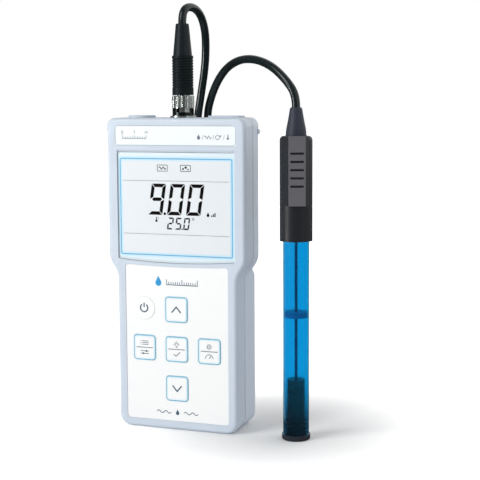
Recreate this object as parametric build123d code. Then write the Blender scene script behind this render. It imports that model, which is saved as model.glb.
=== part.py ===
from build123d import *
import math
import os

os.makedirs("parts", exist_ok=True)

# A handheld pH and ion meter with its electrode on a lead. Millimetres.
# +X runs across the width, the keypad faces -Y, +Z is up. The origin is the middle of the base.

# Case
case_height = 195.8
head_width = 92.0
grip_width = 80.4
waist_height = 103.0
waist_drop = 7.5
waist_arc_share = 0.468
base_corner = 8.0
top_corner = 5.2
case_depth = 36.0
head_depth = 27.0
parting_depth = 14.3
front_edge = 2.5
back_edge = 3.0
side_wall = 2.2
front_wall = 2.4
back_wall = 2.2
gasket_thick = 0.8
gasket_inset = 0.5

# Head strip and display
strip_side_margin = 6.0
strip_top_margin = 4.7
strip_height = 12.2
strip_corner = 3.0
strip_thick = 0.5
strip_set_in = 0.15
lens_side_margin = 7.0
lens_top_margin = 21.1
lens_foot_margin = 4.9
lens_bow = 1.9
lens_corner = 1.2
lens_set_in = 1.0
lens_thick = 1.4
lens_bevel = 1.6
rim_thick = 1.0
rim_margin = 2.6
screen_side_margin = 2.6
screen_top_margin = 4.7
screen_foot_margin = 4.1
lcd_margin = 1.4
lcd_thick = 3.0
backlight_thick = 1.3

# Keypad
overlay_side_margin = 5.9
overlay_low = 5.8
overlay_rise = 1.5
overlay_bow = 0.9
overlay_corner = 2.0
overlay_thick = 0.8
overlay_set_in = 0.3
key_width = 14.7
key_height = 15.8
key_corner = 2.0
power_radius = 7.2
key_row_height = 51.8
key_side_margin = 12.5
key_pitch_z = 25.1
key_proud = 0.4
key_travel = 0.4
key_gap = 0.3
key_flange = 1.2
key_flange_thick = 0.8
key_stem_radius = 3.0
mat_sheet = 1.0
mat_dome = 1.0
mat_dome_radius = 4.6
mat_side_margin = 7.4
mat_low = 16.0
mat_high = 92.0
key_spare_travel = 0.1

# Circuit board
board_thick = 1.6
board_head_margin = 12.0
board_top_margin = 17.8
board_grip_margin = 12.7
board_low = 8.0
chip_leg_thick = 0.3
chip_leg_reach = 0.8
chips = [(0.12, 0.33, 12.0, 12.0, 1.4), (-0.5, 0.21, 15.0, 8.0, 1.2), (0.62, 0.24, 6.0, 5.0, 1.1),
         (-0.47, 0.65, 5.0, 4.0, 1.2), (0.35, -0.15, 6.5, 6.0, 1.6)]
cans = [(0.18, 0.7, 24.0, 17.0, 3.6), (0.65, 0.41, 8.0, 3.4, 2.2), (-0.59, 0.41, 11.0, 6.0, 3.0)]
can_corner = 0.8

# Battery compartment
cell_radius = 7.1
cell_length = 50.5
cell_count = 3
cell_pitch = 15.0
bay_half = 24.6
bay_low = 18.0
bay_high = 80.0
bay_wall = 1.4
door_half = 27.3
door_overlap = 6.5
door_thick = 2.2
door_corner = 3.5
door_gap = 0.3
door_seal_thick = 0.6
door_seal_width = 1.8
door_screw_inset = 2.9
door_screw_head = 2.6
door_screw_radius = 1.25
door_screw_length = 9.0
screw_head_thick = 1.3
screw_sunk = 0.3
contact_thick = 0.5
contact_half = 5.0
contact_knob_radius = 2.0
cell_knob_radius = 2.6
cell_knob_height = 1.0
spring_radius = 3.2
spring_wire = 0.35
spring_turns = 3
label_width = 34.0
label_height = 42.0
label_corner = 1.5
label_recess = 0.3
label_thick = 0.25

# Case screws
boss_radius = 3.3
screw_radius = 1.5
screw_head_radius = 2.8
case_screw_head_thick = 2.0
case_screw_sunk = 0.6
screw_bite = 5.0
screw_side_grip = 7.2
screw_side_head = 7.0
screw_foot = 14.0
screw_waist_drop = 14.0
screw_top_drop = 16.8

# Stand
stand_axis_drop = 8.8
stand_axis_inset = 3.0
stand_side_margin = 14.8
stand_foot_share = 0.26
stand_window_side = 7.0
stand_window_foot_share = 0.18
stand_window_head_share = 0.25
stand_window_corner = 4.0
stand_web = 1.4
stand_thick = 3.0
stand_knuckle = 2.5
stand_pocket_gap = 0.3
stand_corner = 5.0
scoop_radius = 9.0
scoop_depth = 2.0
pin_radius = 1.5
pin_end_radius = 1.65
pin_end_proud = 1.1
running_gap = 0.05

# Sockets in the top
jack_x = 0.5
socket_depth = 13.7
jack_flange_radius = 8.0
jack_flange_thick = 1.15
jack_thread_radius = 4.7
jack_barrel_radius = 4.8
jack_barrel_length = 10.0
jack_bore_radius = 4.06
jack_tail = 8.6
jack_nut_flat = 6.35
jack_nut_thick = 2.4
jack_contact_radius = 1.25
lug_radius = 1.0
lug_reach = 5.5
lug_height = 3.4
lug_count = 2
temp_inset = 18.6
temp_radius = 5.0
temp_bore = 3.5
temp_flange = 6.4
temp_cap_radius = 8.6
temp_cap_thick = 1.4
port_inset = 16.8
port_width = 14.0
port_depth = 8.0
port_slot_width = 9.0
port_slot_depth = 3.4
port_cover_width = 22.6
port_cover_depth = 10.4
port_cover_thick = 1.2
socket_length = 11.0
plug_stem_length = 6.0
fit_gap = 0.4

# Plug on the lead
ring_radius = 7.0
ring_skirt_radius = 6.7
ring_skirt_height = 4.7
ring_flute_count = 14
ring_flute_radius = 0.9
ring_flute_depth = 0.4
ring_chamfer = 0.35
ring_length = 12.3
ring_bore = 5.15
ring_chamber = 5.9
ring_top_lip = 1.2
slot_half = 1.25
slot_turn = 105.0
sleeve_radius = 3.75
sleeve_bore = 3.1
plug_flange = 5.6
plug_flange_thick = 0.6
plug_neck = 4.3
plug_neck_length = 18.0
grip_radius = 6.6
grip_length = 24.1
rib_count = 11
rib_pitch = 1.68
rib_depth = 0.35
rib_start = 4.6
boot_length = 19.6
boot_base_radius = 5.9
boot_top_radius = 4.1
plug_gap = 0.3
centre_pin_radius = 0.6
centre_pin_low = 1.6
centre_pin_length = 20.4
plug_core_low = 7.6
plug_core_length = 16.0

# Electrode
probe_x = 75.9
probe_y = -11.3
tube_radius = 7.9
tube_wall = 0.7
flange_radius = 8.65
flange_height = 3.3
flange_round = 0.9
cap_radius = 9.9
cap_low = 122.3
cap_high = 185.25
cap_round = 2.6
cap_socket = 13.7
pad_turn = 20.5
pad_face = 10.4
pad_half = 4.9
pad_root = 6.7
pad_root_half = 7.3
pad_low = 143.8
pad_arch = 2.0
pad_rise = 0.5
cap_groove_low = 142.6
cap_groove_height = 0.5
cap_groove_depth = 0.25
pad_slot_high = 175.0
pad_slot_pitch = 4.87
pad_slot_count = 5
pad_slot_half = 4.1
pad_slot_height = 1.3
pad_slot_depth = 0.6
probe_boot_height = 16.75
probe_boot_base = 6.4
probe_boot_neck = 3.8
stem_radius = 0.9
spacer_low = 75.7
spacer_height = 3.3
module_radius = 5.35
module_high = 37.2
module_thread_high = 14.0
thread_ring_radius = 6.4
thread_ring_count = 4
thread_ring_height = 1.3
membrane_radius = 3.2
membrane_recess = 0.6

# Lead
cord_diameter = 5.1
coil_x = -29.0
coil_y = 72.0
coil_radius = 28.0
coil_turns_high = 2.8
coil_spread = 0.5

# Derived places
front_y = -case_depth / 2
back_y = case_depth / 2
head_back_y = front_y + head_depth
parting_y = front_y + parting_depth
front_half_y = parting_y - gasket_thick / 2
rear_half_y = parting_y + gasket_thick / 2
inner_front_y = front_y + front_wall
top_inside = case_height - side_wall
strip_half = head_width / 2 - strip_side_margin
strip_high = case_height - strip_top_margin
strip_low = strip_high - strip_height
lens_half = head_width / 2 - lens_side_margin
lens_high = case_height - lens_top_margin
lens_low = waist_height + lens_foot_margin
screen_half = lens_half - screen_side_margin
screen_high = lens_high - screen_top_margin
screen_low = lens_low + screen_foot_margin
overlay_half = grip_width / 2 - overlay_side_margin
key_pitch_x = overlay_half - key_side_margin
mat_half = key_pitch_x + mat_side_margin
overlay_high = waist_height + overlay_rise
overlay_y = front_y + overlay_set_in
lens_y = front_y + lens_set_in
rim_y = lens_y + lens_thick
lcd_y = rim_y + rim_thick
backlight_y = lcd_y + lcd_thick
board_y = backlight_y + backlight_thick
board_back_y = board_y + board_thick
board_head_half = head_width / 2 - board_head_margin
board_head_high = case_height - board_top_margin
board_grip_half = grip_width / 2 - board_grip_margin
screw_places = [
    (grip_width / 2 - screw_side_grip, screw_foot),
    (grip_width / 2 - screw_side_grip, waist_height - screw_waist_drop),
    (head_width / 2 - screw_side_head, case_height - screw_top_drop),
]
socket_y = front_y + socket_depth
temp_x = temp_inset - head_width / 2
port_x = head_width / 2 - port_inset
stand_axis_y = head_back_y - stand_axis_inset
stand_axis_height = case_height - stand_axis_drop
stand_low = waist_height + stand_foot_share * (case_height - waist_height)
stand_half = head_width / 2 - stand_side_margin
jack_top = case_height + jack_flange_thick
ring_low = jack_top + 0.05
ring_high = ring_low + ring_length
grip_low = ring_high + plug_gap
grip_high = grip_low + grip_length
boot_high = grip_high + boot_length
key_places = {
    "key_power": (-key_pitch_x, key_row_height + key_pitch_z),
    "key_up": (0.0, key_row_height + key_pitch_z),
    "key_mode": (-key_pitch_x, key_row_height),
    "key_enter": (0.0, key_row_height),
    "key_cal": (key_pitch_x, key_row_height),
    "key_down": (0.0, key_row_height - key_pitch_z),
}

parts = {}


def keep(name, shape):
    """Store one sub-part under the name of its file."""
    parts[name] = shape


def block(x0, x1, y0, y1, z0, z1):
    """A box given by its faces."""
    return Pos((x0 + x1) / 2, (y0 + y1) / 2, (z0 + z1) / 2) * Box(x1 - x0, y1 - y0, z1 - z0)


def rod_z(x, y, radius, z0, z1):
    """An upright cylinder."""
    return Pos(x, y, (z0 + z1) / 2) * Cylinder(radius, z1 - z0)


def rod_y(x, z, radius, y0, y1):
    """A cylinder that runs from front to back."""
    return Pos(x, (y0 + y1) / 2, z) * Rot(90, 0, 0) * Cylinder(radius, y1 - y0)


def rod_x(y, z, radius, x0, x1):
    """A cylinder that runs across the width."""
    return Pos((x0 + x1) / 2, y, z) * Rot(0, 90, 0) * Cylinder(radius, x1 - x0)


def prism_y(face, y0, y1):
    """A front-view outline, drawn in X and Z, carried from y0 back to y1."""
    return Pos(0, y1, 0) * extrude(Plane.XZ * face, amount=y1 - y0)


def prism_x(face, x0, x1):
    """A side-view outline, drawn in Y and Z, carried from x0 to x1."""
    return Pos(x0, 0, 0) * extrude(Plane.YZ * face, amount=x1 - x0)


def plate(x, z, width, height, corner, y0, y1):
    """A rounded rectangle facing front."""
    return prism_y(Pos(x, z) * RectangleRounded(width, height, corner), y0, y1)


def revolved(points, x, y):
    """A turned piece: radius and height points, closed along the axis at x, y."""
    outline = Polyline(*[(r, 0, z) for r, z in points], close=True)
    return Pos(x, y, 0) * revolve(make_face(outline), Axis.Z)


def case_outline(inset):
    """The front view of the case: wide head, waist of two tangent arcs, narrower grip."""
    g = grip_width / 2
    h = head_width / 2
    low = waist_height - waist_drop / 2
    high = waist_height + waist_drop / 2
    turn = math.atan2(abs(h - g), waist_drop)
    waist_radius = waist_arc_share * math.hypot(h - g, waist_drop) / math.tan(turn / 2)
    right = [(g, 0), (g, low), (h, high), (h, case_height)]
    left = [(-x, z) for x, z in reversed(right)]
    half = [base_corner, waist_radius, waist_radius, top_corner]
    outline = FilletPolyline(*right, *left, radius=half + half[::-1], close=True)
    face = make_face(outline)
    return offset(face, amount=-inset) if inset else face


def hump_profile(inset):
    """The side view of the grip, which stands deeper than the head, with a ramp up to the head."""
    points = [
        (front_half_y - front_wall, 0),
        (back_y, 0),
        (back_y, waist_height - (back_y - head_back_y)),
        (head_back_y, waist_height),
        (front_half_y - front_wall, waist_height),
    ]
    face = make_face(Polyline(*points, close=True))
    return offset(face, amount=-inset) if inset else face


def hump(inset):
    """The deep back of the grip, over its whole depth behind the parting line."""
    half = grip_width / 2 - inset
    points = [(-half, inset), (half, inset), (half, waist_height), (-half, waist_height)]
    corner = base_corner - inset
    face = make_face(FilletPolyline(*points, radius=[corner, corner, 0, 0], close=True))
    body = prism_y(face, rear_half_y, back_y - inset)
    return body & prism_x(hump_profile(inset), -grip_width, grip_width)


def lens_outline(grow):
    """The window: straight top and sides, and a lower edge that bows down."""
    half = lens_half + grow
    low = lens_low - grow
    top = Polyline((-half, low), (-half, lens_high + grow), (half, lens_high + grow), (half, low))
    bow = ThreePointArc((half, low), (0, low - lens_bow), (-half, low))
    face = make_face([*top.edges(), bow])
    return fillet(face.vertices(), lens_corner)


def key_face(name, grow):
    """A key seen from the front, grown by a margin all round."""
    x, z = key_places[name]
    if name == "key_power":
        return Pos(x, z) * Circle(power_radius + grow)
    corner = key_corner + max(grow, 0)
    return Pos(x, z) * RectangleRounded(key_width + 2 * grow, key_height + 2 * grow, corner)


def overlay_face(grow):
    """The keypad label, whose upper edge bows down, and its recess."""
    half = overlay_half + grow
    low = overlay_low - grow
    high = overlay_high + grow
    lower = Polyline((-half, high), (-half, low), (half, low), (half, high))
    bow = ThreePointArc((half, high), (0, high - overlay_bow), (-half, high))
    face = make_face([*lower.edges(), bow])
    return fillet(face.vertices(), overlay_corner + grow)


def strip_face(grow):
    """The white strip in the head, rounded at its upper corners only."""
    half = strip_half + grow
    points = [
        (-half, strip_low - grow),
        (half, strip_low - grow),
        (half, strip_high + grow),
        (-half, strip_high + grow),
    ]
    corner = strip_corner + grow
    return make_face(FilletPolyline(*points, radius=[0.4, 0.4, corner, corner], close=True))


def top_openings():
    """What the sockets in the top take out of both case halves and the gasket."""
    low = top_inside - 1
    high = case_height + 1
    jack = rod_z(jack_x, socket_y, jack_thread_radius + 0.1, low, high)
    temp = rod_z(temp_x, socket_y, temp_radius + 0.1, low, high)
    slot = Pos(port_x, socket_y, low) * RectangleRounded(port_slot_width + 1, port_slot_depth + 1, 1.2)
    return jack + temp + extrude(slot, amount=high - low)


def mirrored_places():
    """Case screw places on both sides."""
    return [(side * x, z) for x, z in screw_places for side in (1, -1)]


def screw_head_y(z):
    """Depth of a case screw's outer face: the head is shallower than the grip."""
    surface = head_back_y if z > waist_height else back_y
    return surface - case_screw_sunk


def make_front_shell():
    """Front half: window recess, keypad recess with key holes, strip recess and screw bosses."""
    body = prism_y(case_outline(0), front_y, front_half_y)
    body = fillet(body.faces().sort_by(Axis.Y)[0].edges(), front_edge)
    body -= prism_y(case_outline(side_wall), inner_front_y, parting_y)
    rim_low = lens_low - lens_bow - rim_margin / 2
    body += block(-lens_half - rim_margin, lens_half + rim_margin, inner_front_y - 0.5, lcd_y,
                  rim_low, lens_high + rim_margin)
    body -= prism_y(lens_outline(0.1), front_y - 1, rim_y)
    bevel = make_face(Polyline((front_y, lens_high), (front_y, lens_high + lens_bevel),
                               (lens_y, lens_high), close=True))
    body -= prism_x(bevel, -lens_half - 0.1, lens_half + 0.1)
    body -= block(-screen_half, screen_half, rim_y - 1, lcd_y + 1, screen_low, screen_high)
    body -= prism_y(strip_face(0.1), front_y - 1, front_y + strip_set_in + strip_thick)
    body -= prism_y(overlay_face(0.1), front_y - 1, overlay_y + overlay_thick)
    for name in key_places:
        body -= prism_y(key_face(name, key_gap), front_y, inner_front_y + 1)
    for x, z in mirrored_places():
        body += rod_y(x, z, boss_radius, inner_front_y - 0.5, front_half_y)
        body -= rod_y(x, z, screw_radius + running_gap, inner_front_y + 1.5, front_half_y + 1)
    return body - top_openings()


def make_rear_shell():
    """Rear half: deep grip with the battery bay, shallow head with the stand pocket."""
    head = prism_y(case_outline(0), rear_half_y, head_back_y)
    head = fillet(head.faces().sort_by(Axis.Y)[-1].edges(), back_edge)
    grip = hump(0)
    grip = fillet(grip.faces().sort_by(Axis.Y)[-1].edges(), back_edge)
    body = head + grip
    outer = body
    body -= prism_y(case_outline(side_wall), rear_half_y - 1, head_back_y - back_wall)
    body -= hump(back_wall)
    seal_y = back_y - door_thick - door_seal_thick
    door_low = bay_low - door_overlap
    door_high = bay_high + door_overlap
    bay_floor = seal_y - 2 * cell_radius - 0.4
    walls = block(-door_half - 1.5, door_half + 1.5, bay_floor - bay_wall, back_y - 0.5,
                  door_low - 1.5, door_high + 1.5)
    pocket_half = stand_half + stand_pocket_gap
    pocket_high = stand_axis_height + stand_knuckle + stand_pocket_gap
    pocket_low = stand_low - stand_pocket_gap
    scoop_floor = head_back_y - scoop_depth
    knuckle_floor = stand_axis_y - stand_knuckle - stand_pocket_gap
    plate_floor = head_back_y - stand_thick - 2 * stand_pocket_gap
    knuckle_zone = stand_axis_height - stand_knuckle - 1.5
    walls += block(-pocket_half - 1.5, pocket_half + 1.5, knuckle_floor - 1.6, head_back_y - 0.5,
                   pocket_low - 1.5, pocket_high + 1.3)
    walls += rod_y(0, pocket_low, scoop_radius + 1.5, scoop_floor - back_wall, head_back_y - 0.5)
    body += walls & outer
    for x, z in mirrored_places():
        body += rod_y(x, z, boss_radius, rear_half_y, screw_head_y(z) - 1)
        head_y = screw_head_y(z) - case_screw_head_thick
        body -= rod_y(x, z, screw_radius + running_gap, rear_half_y - 1, head_y + 1)
        body -= rod_y(x, z, screw_head_radius + running_gap, head_y, back_y + 1)
    body -= block(-bay_half, bay_half, bay_floor, back_y + 1, bay_low, bay_high)
    door_height = door_high - door_low + 2 * door_gap
    body -= plate(0, (door_low + door_high) / 2, 2 * (door_half + door_gap), door_height,
                  door_corner + door_gap, seal_y, back_y + 1)
    for z in door_screw_heights():
        body -= rod_y(0, z, door_screw_radius + 0.35, seal_y - door_screw_length, back_y)
    body -= block(-pocket_half, pocket_half, plate_floor, head_back_y + 1, pocket_low, pocket_high)
    body -= block(-pocket_half, pocket_half, knuckle_floor, head_back_y + 1, knuckle_zone, pocket_high)
    body -= rod_y(0, pocket_low, scoop_radius, scoop_floor, head_back_y + 1)
    body -= rod_x(stand_axis_y, stand_axis_height, pin_radius + running_gap, -head_width, head_width)
    return body - top_openings()


def door_screw_heights():
    """Heights of the two battery door screws."""
    return (bay_low - door_screw_inset, bay_high + door_screw_inset)


def make_battery_door():
    """Door plate with two sunk screw heads and a shallow recess for its label."""
    low = bay_low - door_overlap
    high = bay_high + door_overlap
    y0 = back_y - door_thick
    door = plate(0, (low + high) / 2, 2 * door_half, high - low, door_corner, y0, back_y)
    door = fillet(door.faces().sort_by(Axis.Y)[-1].edges(), 0.5)
    for z in door_screw_heights():
        door -= rod_y(0, z, door_screw_radius + 0.35, y0 - 1, back_y + 1)
        door -= rod_y(0, z, door_screw_head + 0.1, back_y - screw_sunk - screw_head_thick, back_y + 1)
    return door - rear_label(running_gap, label_recess + 1)


def rear_label(grow, thick):
    """The label in the door's shallow recess, or with a margin the recess itself."""
    middle = (bay_low + bay_high) / 2
    low = back_y - label_recess
    return plate(0, middle, label_width + 2 * grow, label_height + 2 * grow, label_corner, low, low + thick)


def make_door_gasket():
    """Flat ring between the door and its ledge."""
    low = bay_low - door_overlap + 0.3
    high = bay_high + door_overlap - 0.3
    y1 = back_y - door_thick
    y0 = y1 - door_seal_thick
    middle = (low + high) / 2
    width = 2 * (door_half - 0.3)
    outer = plate(0, middle, width, high - low, door_corner, y0, y1)
    inner = plate(0, middle, width - 2 * door_seal_width, high - low - 2 * door_seal_width,
                  door_corner - 1.5, y0 - 1, y1 + 1)
    return outer - inner


def screw(x, z, head_radius, radius, head_thick, face_y, tip_y):
    """A screw along Y with a cross recess in its head."""
    body = rod_y(x, z, head_radius, face_y - head_thick, face_y)
    body += rod_y(x, z, radius, tip_y, face_y - head_thick)
    arm = head_radius * 0.6
    body -= block(x - arm, x + arm, face_y - 0.7, face_y + 1, z - 0.35, z + 0.35)
    body -= block(x - 0.35, x + 0.35, face_y - 0.7, face_y + 1, z - arm, z + arm)
    return body


def make_stand():
    """Flip-out plate with a knuckle along its upper edge."""
    z1 = stand_axis_height
    z0 = stand_low
    outer_y = head_back_y - stand_pocket_gap
    face = make_face(FilletPolyline((-stand_half, z0), (stand_half, z0), (stand_half, z1), (-stand_half, z1),
                                    radius=[stand_corner, stand_corner, 0.2, 0.2], close=True))
    body = prism_y(face, outer_y - stand_thick, outer_y)
    low = z0 + stand_window_foot_share * (z1 - z0)
    high = z1 - stand_window_head_share * (z1 - z0)
    body -= plate(0, (low + high) / 2, 2 * (stand_half - stand_window_side), high - low, stand_window_corner,
                  outer_y - stand_thick + stand_web, outer_y + 1)
    body += rod_x(stand_axis_y, stand_axis_height, stand_knuckle, -stand_half, stand_half)
    return body - rod_x(stand_axis_y, stand_axis_height, pin_radius + running_gap, -head_width, head_width)


def make_stand_pin():
    """Pivot pin with a domed end at each side of the head."""
    half = head_width / 2
    pin = rod_x(stand_axis_y, stand_axis_height, pin_radius, -half, half)
    for side in (1, -1):
        end = rod_x(stand_axis_y, stand_axis_height, pin_end_radius, half, half + pin_end_proud)
        end = fillet(end.faces().sort_by(Axis.X)[-1].edges(), pin_end_proud * 0.7)
        pin += end if side > 0 else mirror(end, about=Plane.YZ)
    return pin


def make_key(name):
    """Key cap with a retaining flange behind the wall and a stem to the dome."""
    flange_y = inner_front_y + 0.3
    cap_y = overlay_y - key_proud
    body = prism_y(key_face(name, 0), cap_y, flange_y)
    body = fillet(body.faces().sort_by(Axis.Y)[0].edges(), 0.3)
    body += prism_y(key_face(name, key_flange), flange_y, flange_y + key_flange_thick)
    x, z = key_places[name]
    stem_y = board_y - mat_sheet - mat_dome - key_travel - key_spare_travel
    return body + rod_y(x, z, key_stem_radius, flange_y + key_flange_thick, stem_y)


def make_dome_mat():
    """Silicone mat with a dome under each key."""
    body = block(-mat_half, mat_half, board_y - mat_sheet, board_y, mat_low, mat_high)
    for x, z in key_places.values():
        dome = Pos(x, board_y - mat_sheet - mat_dome / 2, z) * Rot(90, 0, 0)
        body += dome * Cone(mat_dome_radius, mat_dome_radius - 1, mat_dome)
    return body


def make_cells():
    """Round cells side by side, each with its raised contact."""
    y = cell_y()
    middle = (bay_low + bay_high) / 2
    low = middle - cell_length / 2
    cells = []
    for x in cell_columns():
        shoulder = low + cell_length - cell_knob_height
        cell = rod_z(x, y, cell_radius, low, shoulder)
        cells.append(cell + rod_z(x, y, cell_knob_radius, shoulder, low + cell_length))
    return Compound(cells)


def cell_y():
    """Depth of the cells' axes."""
    return back_y - door_thick - door_seal_thick - cell_radius - 0.2


def cell_columns():
    """Sideways places of the cells."""
    first = -(cell_count - 1) / 2
    return [(first + i) * cell_pitch for i in range(cell_count)]


def make_contacts():
    """Contact plates at both ends of the bay, with a coiled spring under each cell."""
    y = cell_y()
    middle = (bay_low + bay_high) / 2
    cell_low = middle - cell_length / 2
    cell_high = middle + cell_length / 2
    pieces = []
    for x in cell_columns():
        sides = (x - contact_half, x + contact_half, y - contact_half, y + contact_half)
        plate_low = block(*sides, bay_low, bay_low + contact_thick)
        spring = make_spring(bay_low + contact_thick + spring_wire / 2, cell_low - spring_wire - 0.02)
        pieces.append(plate_low + Pos(x, y, 0) * spring)
        plate_high = block(*sides, bay_high - contact_thick, bay_high)
        pieces.append(plate_high + rod_z(x, y, contact_knob_radius, cell_high, bay_high))
    return Compound(pieces)


def make_spring(low, high):
    """Round wire coiled from one height to another."""
    path = Helix(pitch=(high - low) / spring_turns, height=high - low, radius=spring_radius)
    wire = sweep(Plane(origin=path @ 0, z_dir=path % 0) * Circle(spring_wire), path=path, is_frenet=True)
    return Pos(0, 0, low) * wire


def make_board():
    """Circuit board, wide in the head and narrow in the grip."""
    board = block(-board_head_half, board_head_half, board_y, board_back_y, waist_height, board_head_high)
    return board + block(-board_grip_half, board_grip_half, board_y, board_back_y, board_low, waist_height)


def board_place(across, up):
    """A place on the board, as shares of the head part's half width and of its height above the waist."""
    return across * board_head_half, waist_height + up * (board_head_high - waist_height)


def make_chips():
    """Black packages on the board's back, each over a thin sheet of legs."""
    pieces = []
    for across, up, width, height, thick in chips:
        x, z = board_place(across, up)
        legs_y = board_back_y + chip_leg_thick
        legs = block(x - width / 2 - chip_leg_reach, x + width / 2 + chip_leg_reach, board_back_y, legs_y,
                     z - height / 2 + chip_leg_reach, z + height / 2 - chip_leg_reach)
        package = block(x - width / 2, x + width / 2, board_back_y, board_back_y + thick,
                        z - height / 2, z + height / 2)
        pieces.append(chamfer(package.faces().sort_by(Axis.Y)[-1].edges(), chip_leg_thick) + legs)
    return Compound(pieces)


def make_cans():
    """Metal cans on the board's back: the input's shield, the crystal and the supply's coil."""
    pieces = []
    for across, up, width, height, thick in cans:
        x, z = board_place(across, up)
        can = plate(x, z, width, height, can_corner, board_back_y, board_back_y + thick)
        pieces.append(fillet(can.faces().sort_by(Axis.Y)[-1].edges(), can_corner / 2))
    return Compound(pieces)


def make_jack():
    """Bayonet socket: flange, threaded tail through the top, open barrel with two lugs."""
    body = rod_z(jack_x, socket_y, jack_flange_radius, case_height, jack_top)
    body += rod_z(jack_x, socket_y, jack_thread_radius, top_inside - jack_tail, case_height)
    body += rod_z(jack_x, socket_y, jack_barrel_radius, jack_top, jack_top + jack_barrel_length)
    z = jack_top + lug_height
    body += rod_x(socket_y, z, lug_radius, jack_x - lug_reach, jack_x + lug_reach)
    return body - rod_z(jack_x, socket_y, jack_bore_radius, top_inside - jack_tail - 1,
                        jack_top + jack_barrel_length + 1)


def make_jack_nut():
    """Hexagon nut under the top wall."""
    low = top_inside - jack_nut_thick
    nut = Pos(jack_x, socket_y, low) * RegularPolygon(jack_nut_flat, 6, major_radius=False)
    bore = rod_z(jack_x, socket_y, jack_thread_radius + running_gap, low - 1, top_inside + 1)
    return extrude(nut, amount=jack_nut_thick) - bore


def make_jack_insulator():
    """White insulator that fills the socket's tail and carries the contact."""
    radius = jack_bore_radius - running_gap
    body = rod_z(jack_x, socket_y, radius, top_inside - jack_tail, jack_top + 1)
    body += rod_z(jack_x, socket_y, 2.5, jack_top + 1, jack_top + 6.8)
    radius = jack_contact_radius + running_gap
    return body - rod_z(jack_x, socket_y, radius, top_inside - jack_tail - 1, jack_top + 9)


def make_jack_contact():
    """Centre contact, hollow at its upper end."""
    low = top_inside - jack_tail - 4.5
    body = rod_z(jack_x, socket_y, jack_contact_radius, low, jack_top + 6.6)
    return body - rod_z(jack_x, socket_y, centre_pin_radius + 0.3, jack_top + 0.5, jack_top + 9)


def make_temp_socket():
    """Round socket for the temperature probe."""
    low = top_inside - socket_length
    body = rod_z(temp_x, socket_y, temp_radius, low, case_height - 0.2)
    body += rod_z(temp_x, socket_y, temp_flange, top_inside - 2, top_inside)
    return body - rod_z(temp_x, socket_y, temp_bore, top_inside - plug_stem_length, case_height)


def make_temp_cap():
    """Rubber cap with a stem that fills the temperature socket."""
    top = case_height + temp_cap_thick
    body = rod_z(temp_x, socket_y, temp_cap_radius, case_height, top)
    body = fillet(body.faces().sort_by(Axis.Z)[-1].edges(), 0.6)
    return body + rod_z(temp_x, socket_y, temp_bore - fit_gap, case_height - plug_stem_length, case_height)


def make_port_socket():
    """Data and power socket under its cover."""
    low = top_inside - socket_length
    body = block(port_x - port_width / 2, port_x + port_width / 2, socket_y - port_depth / 2,
                 socket_y + port_depth / 2, low, top_inside)
    slot = extrude(RectangleRounded(port_slot_width, port_slot_depth, 1), amount=plug_stem_length + 1)
    return body - Pos(port_x, socket_y, top_inside - plug_stem_length) * slot


def make_port_cover():
    """Rubber cover with a tongue in the port."""
    face = Pos(port_x, socket_y, case_height) * RectangleRounded(port_cover_width, port_cover_depth, 4)
    body = extrude(face, amount=port_cover_thick)
    body = fillet(body.faces().sort_by(Axis.Z)[-1].edges(), 0.5)
    tongue = Pos(port_x, socket_y, case_height - plug_stem_length) * RectangleRounded(
        port_slot_width - 2 * fit_gap, port_slot_depth - 2 * fit_gap, 0.6)
    return body + extrude(tongue, amount=plug_stem_length)


def make_coupling_ring():
    """Bayonet ring: fluted grip, and a skirt with an entry slot and a turning slot for each lug."""
    chamber_low = jack_top + jack_barrel_length - 0.1
    lip_low = ring_high - ring_top_lip
    skirt_high = ring_low + ring_skirt_height
    body = rod_z(jack_x, socket_y, ring_radius, skirt_high, ring_high)
    body = chamfer(body.edges().filter_by(GeomType.CIRCLE), ring_chamfer)
    for place in PolarLocations(ring_radius + ring_flute_radius - ring_flute_depth, ring_flute_count):
        flute = rod_z(0, 0, ring_flute_radius, skirt_high - 1, ring_high + 1)
        body -= Pos(jack_x, socket_y, 0) * place * flute
    body += rod_z(jack_x, socket_y, ring_skirt_radius, ring_low, skirt_high + ring_chamfer)
    body -= rod_z(jack_x, socket_y, ring_bore, ring_low - 1, chamber_low)
    body -= rod_z(jack_x, socket_y, ring_chamber, chamber_low, lip_low)
    body -= rod_z(jack_x, socket_y, plug_neck + 0.4, lip_low - 1, ring_high + 1)
    z = jack_top + lug_height
    entry = block(-ring_radius - 1, ring_radius + 1, -slot_half, slot_half, ring_low - 1, z + slot_half)
    body -= Pos(jack_x, socket_y, 0) * entry
    band = rod_z(0, 0, ring_radius + 1, z - slot_half, z + slot_half)
    band -= rod_z(0, 0, ring_bore - 0.5, z - 2, z + 2)
    for place in PolarLocations(0, lug_count):
        body -= Pos(jack_x, socket_y, 0) * place * (band & wedge(-slot_turn, 0, z))
    return body


def wedge(low, high, z):
    """A sector of a wide disc between two angles, around height z."""
    reach = 3 * ring_radius
    steps = 4
    fan = [(0.0, 0.0)]
    for i in range(steps + 1):
        angle = math.radians(low + (high - low) * i / steps)
        fan.append((reach * math.cos(angle), reach * math.sin(angle)))
    return Pos(0, 0, z - 5) * extrude(make_face(Polyline(*fan, close=True)), amount=10)


def make_plug_body():
    """Plug shell: contact sleeve, flange held in the ring, neck inside the grip."""
    sleeve_low = jack_top + 1.8
    flange_low = jack_top + jack_barrel_length + 0.3
    flange_high = flange_low + plug_flange_thick
    neck_high = flange_high + plug_neck_length
    body = rod_z(jack_x, socket_y, sleeve_radius, sleeve_low, flange_low)
    body += rod_z(jack_x, socket_y, plug_flange, flange_low, flange_high)
    body += rod_z(jack_x, socket_y, plug_neck, flange_high, neck_high)
    return body - rod_z(jack_x, socket_y, sleeve_bore, sleeve_low - 1, neck_high + 1)


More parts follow.
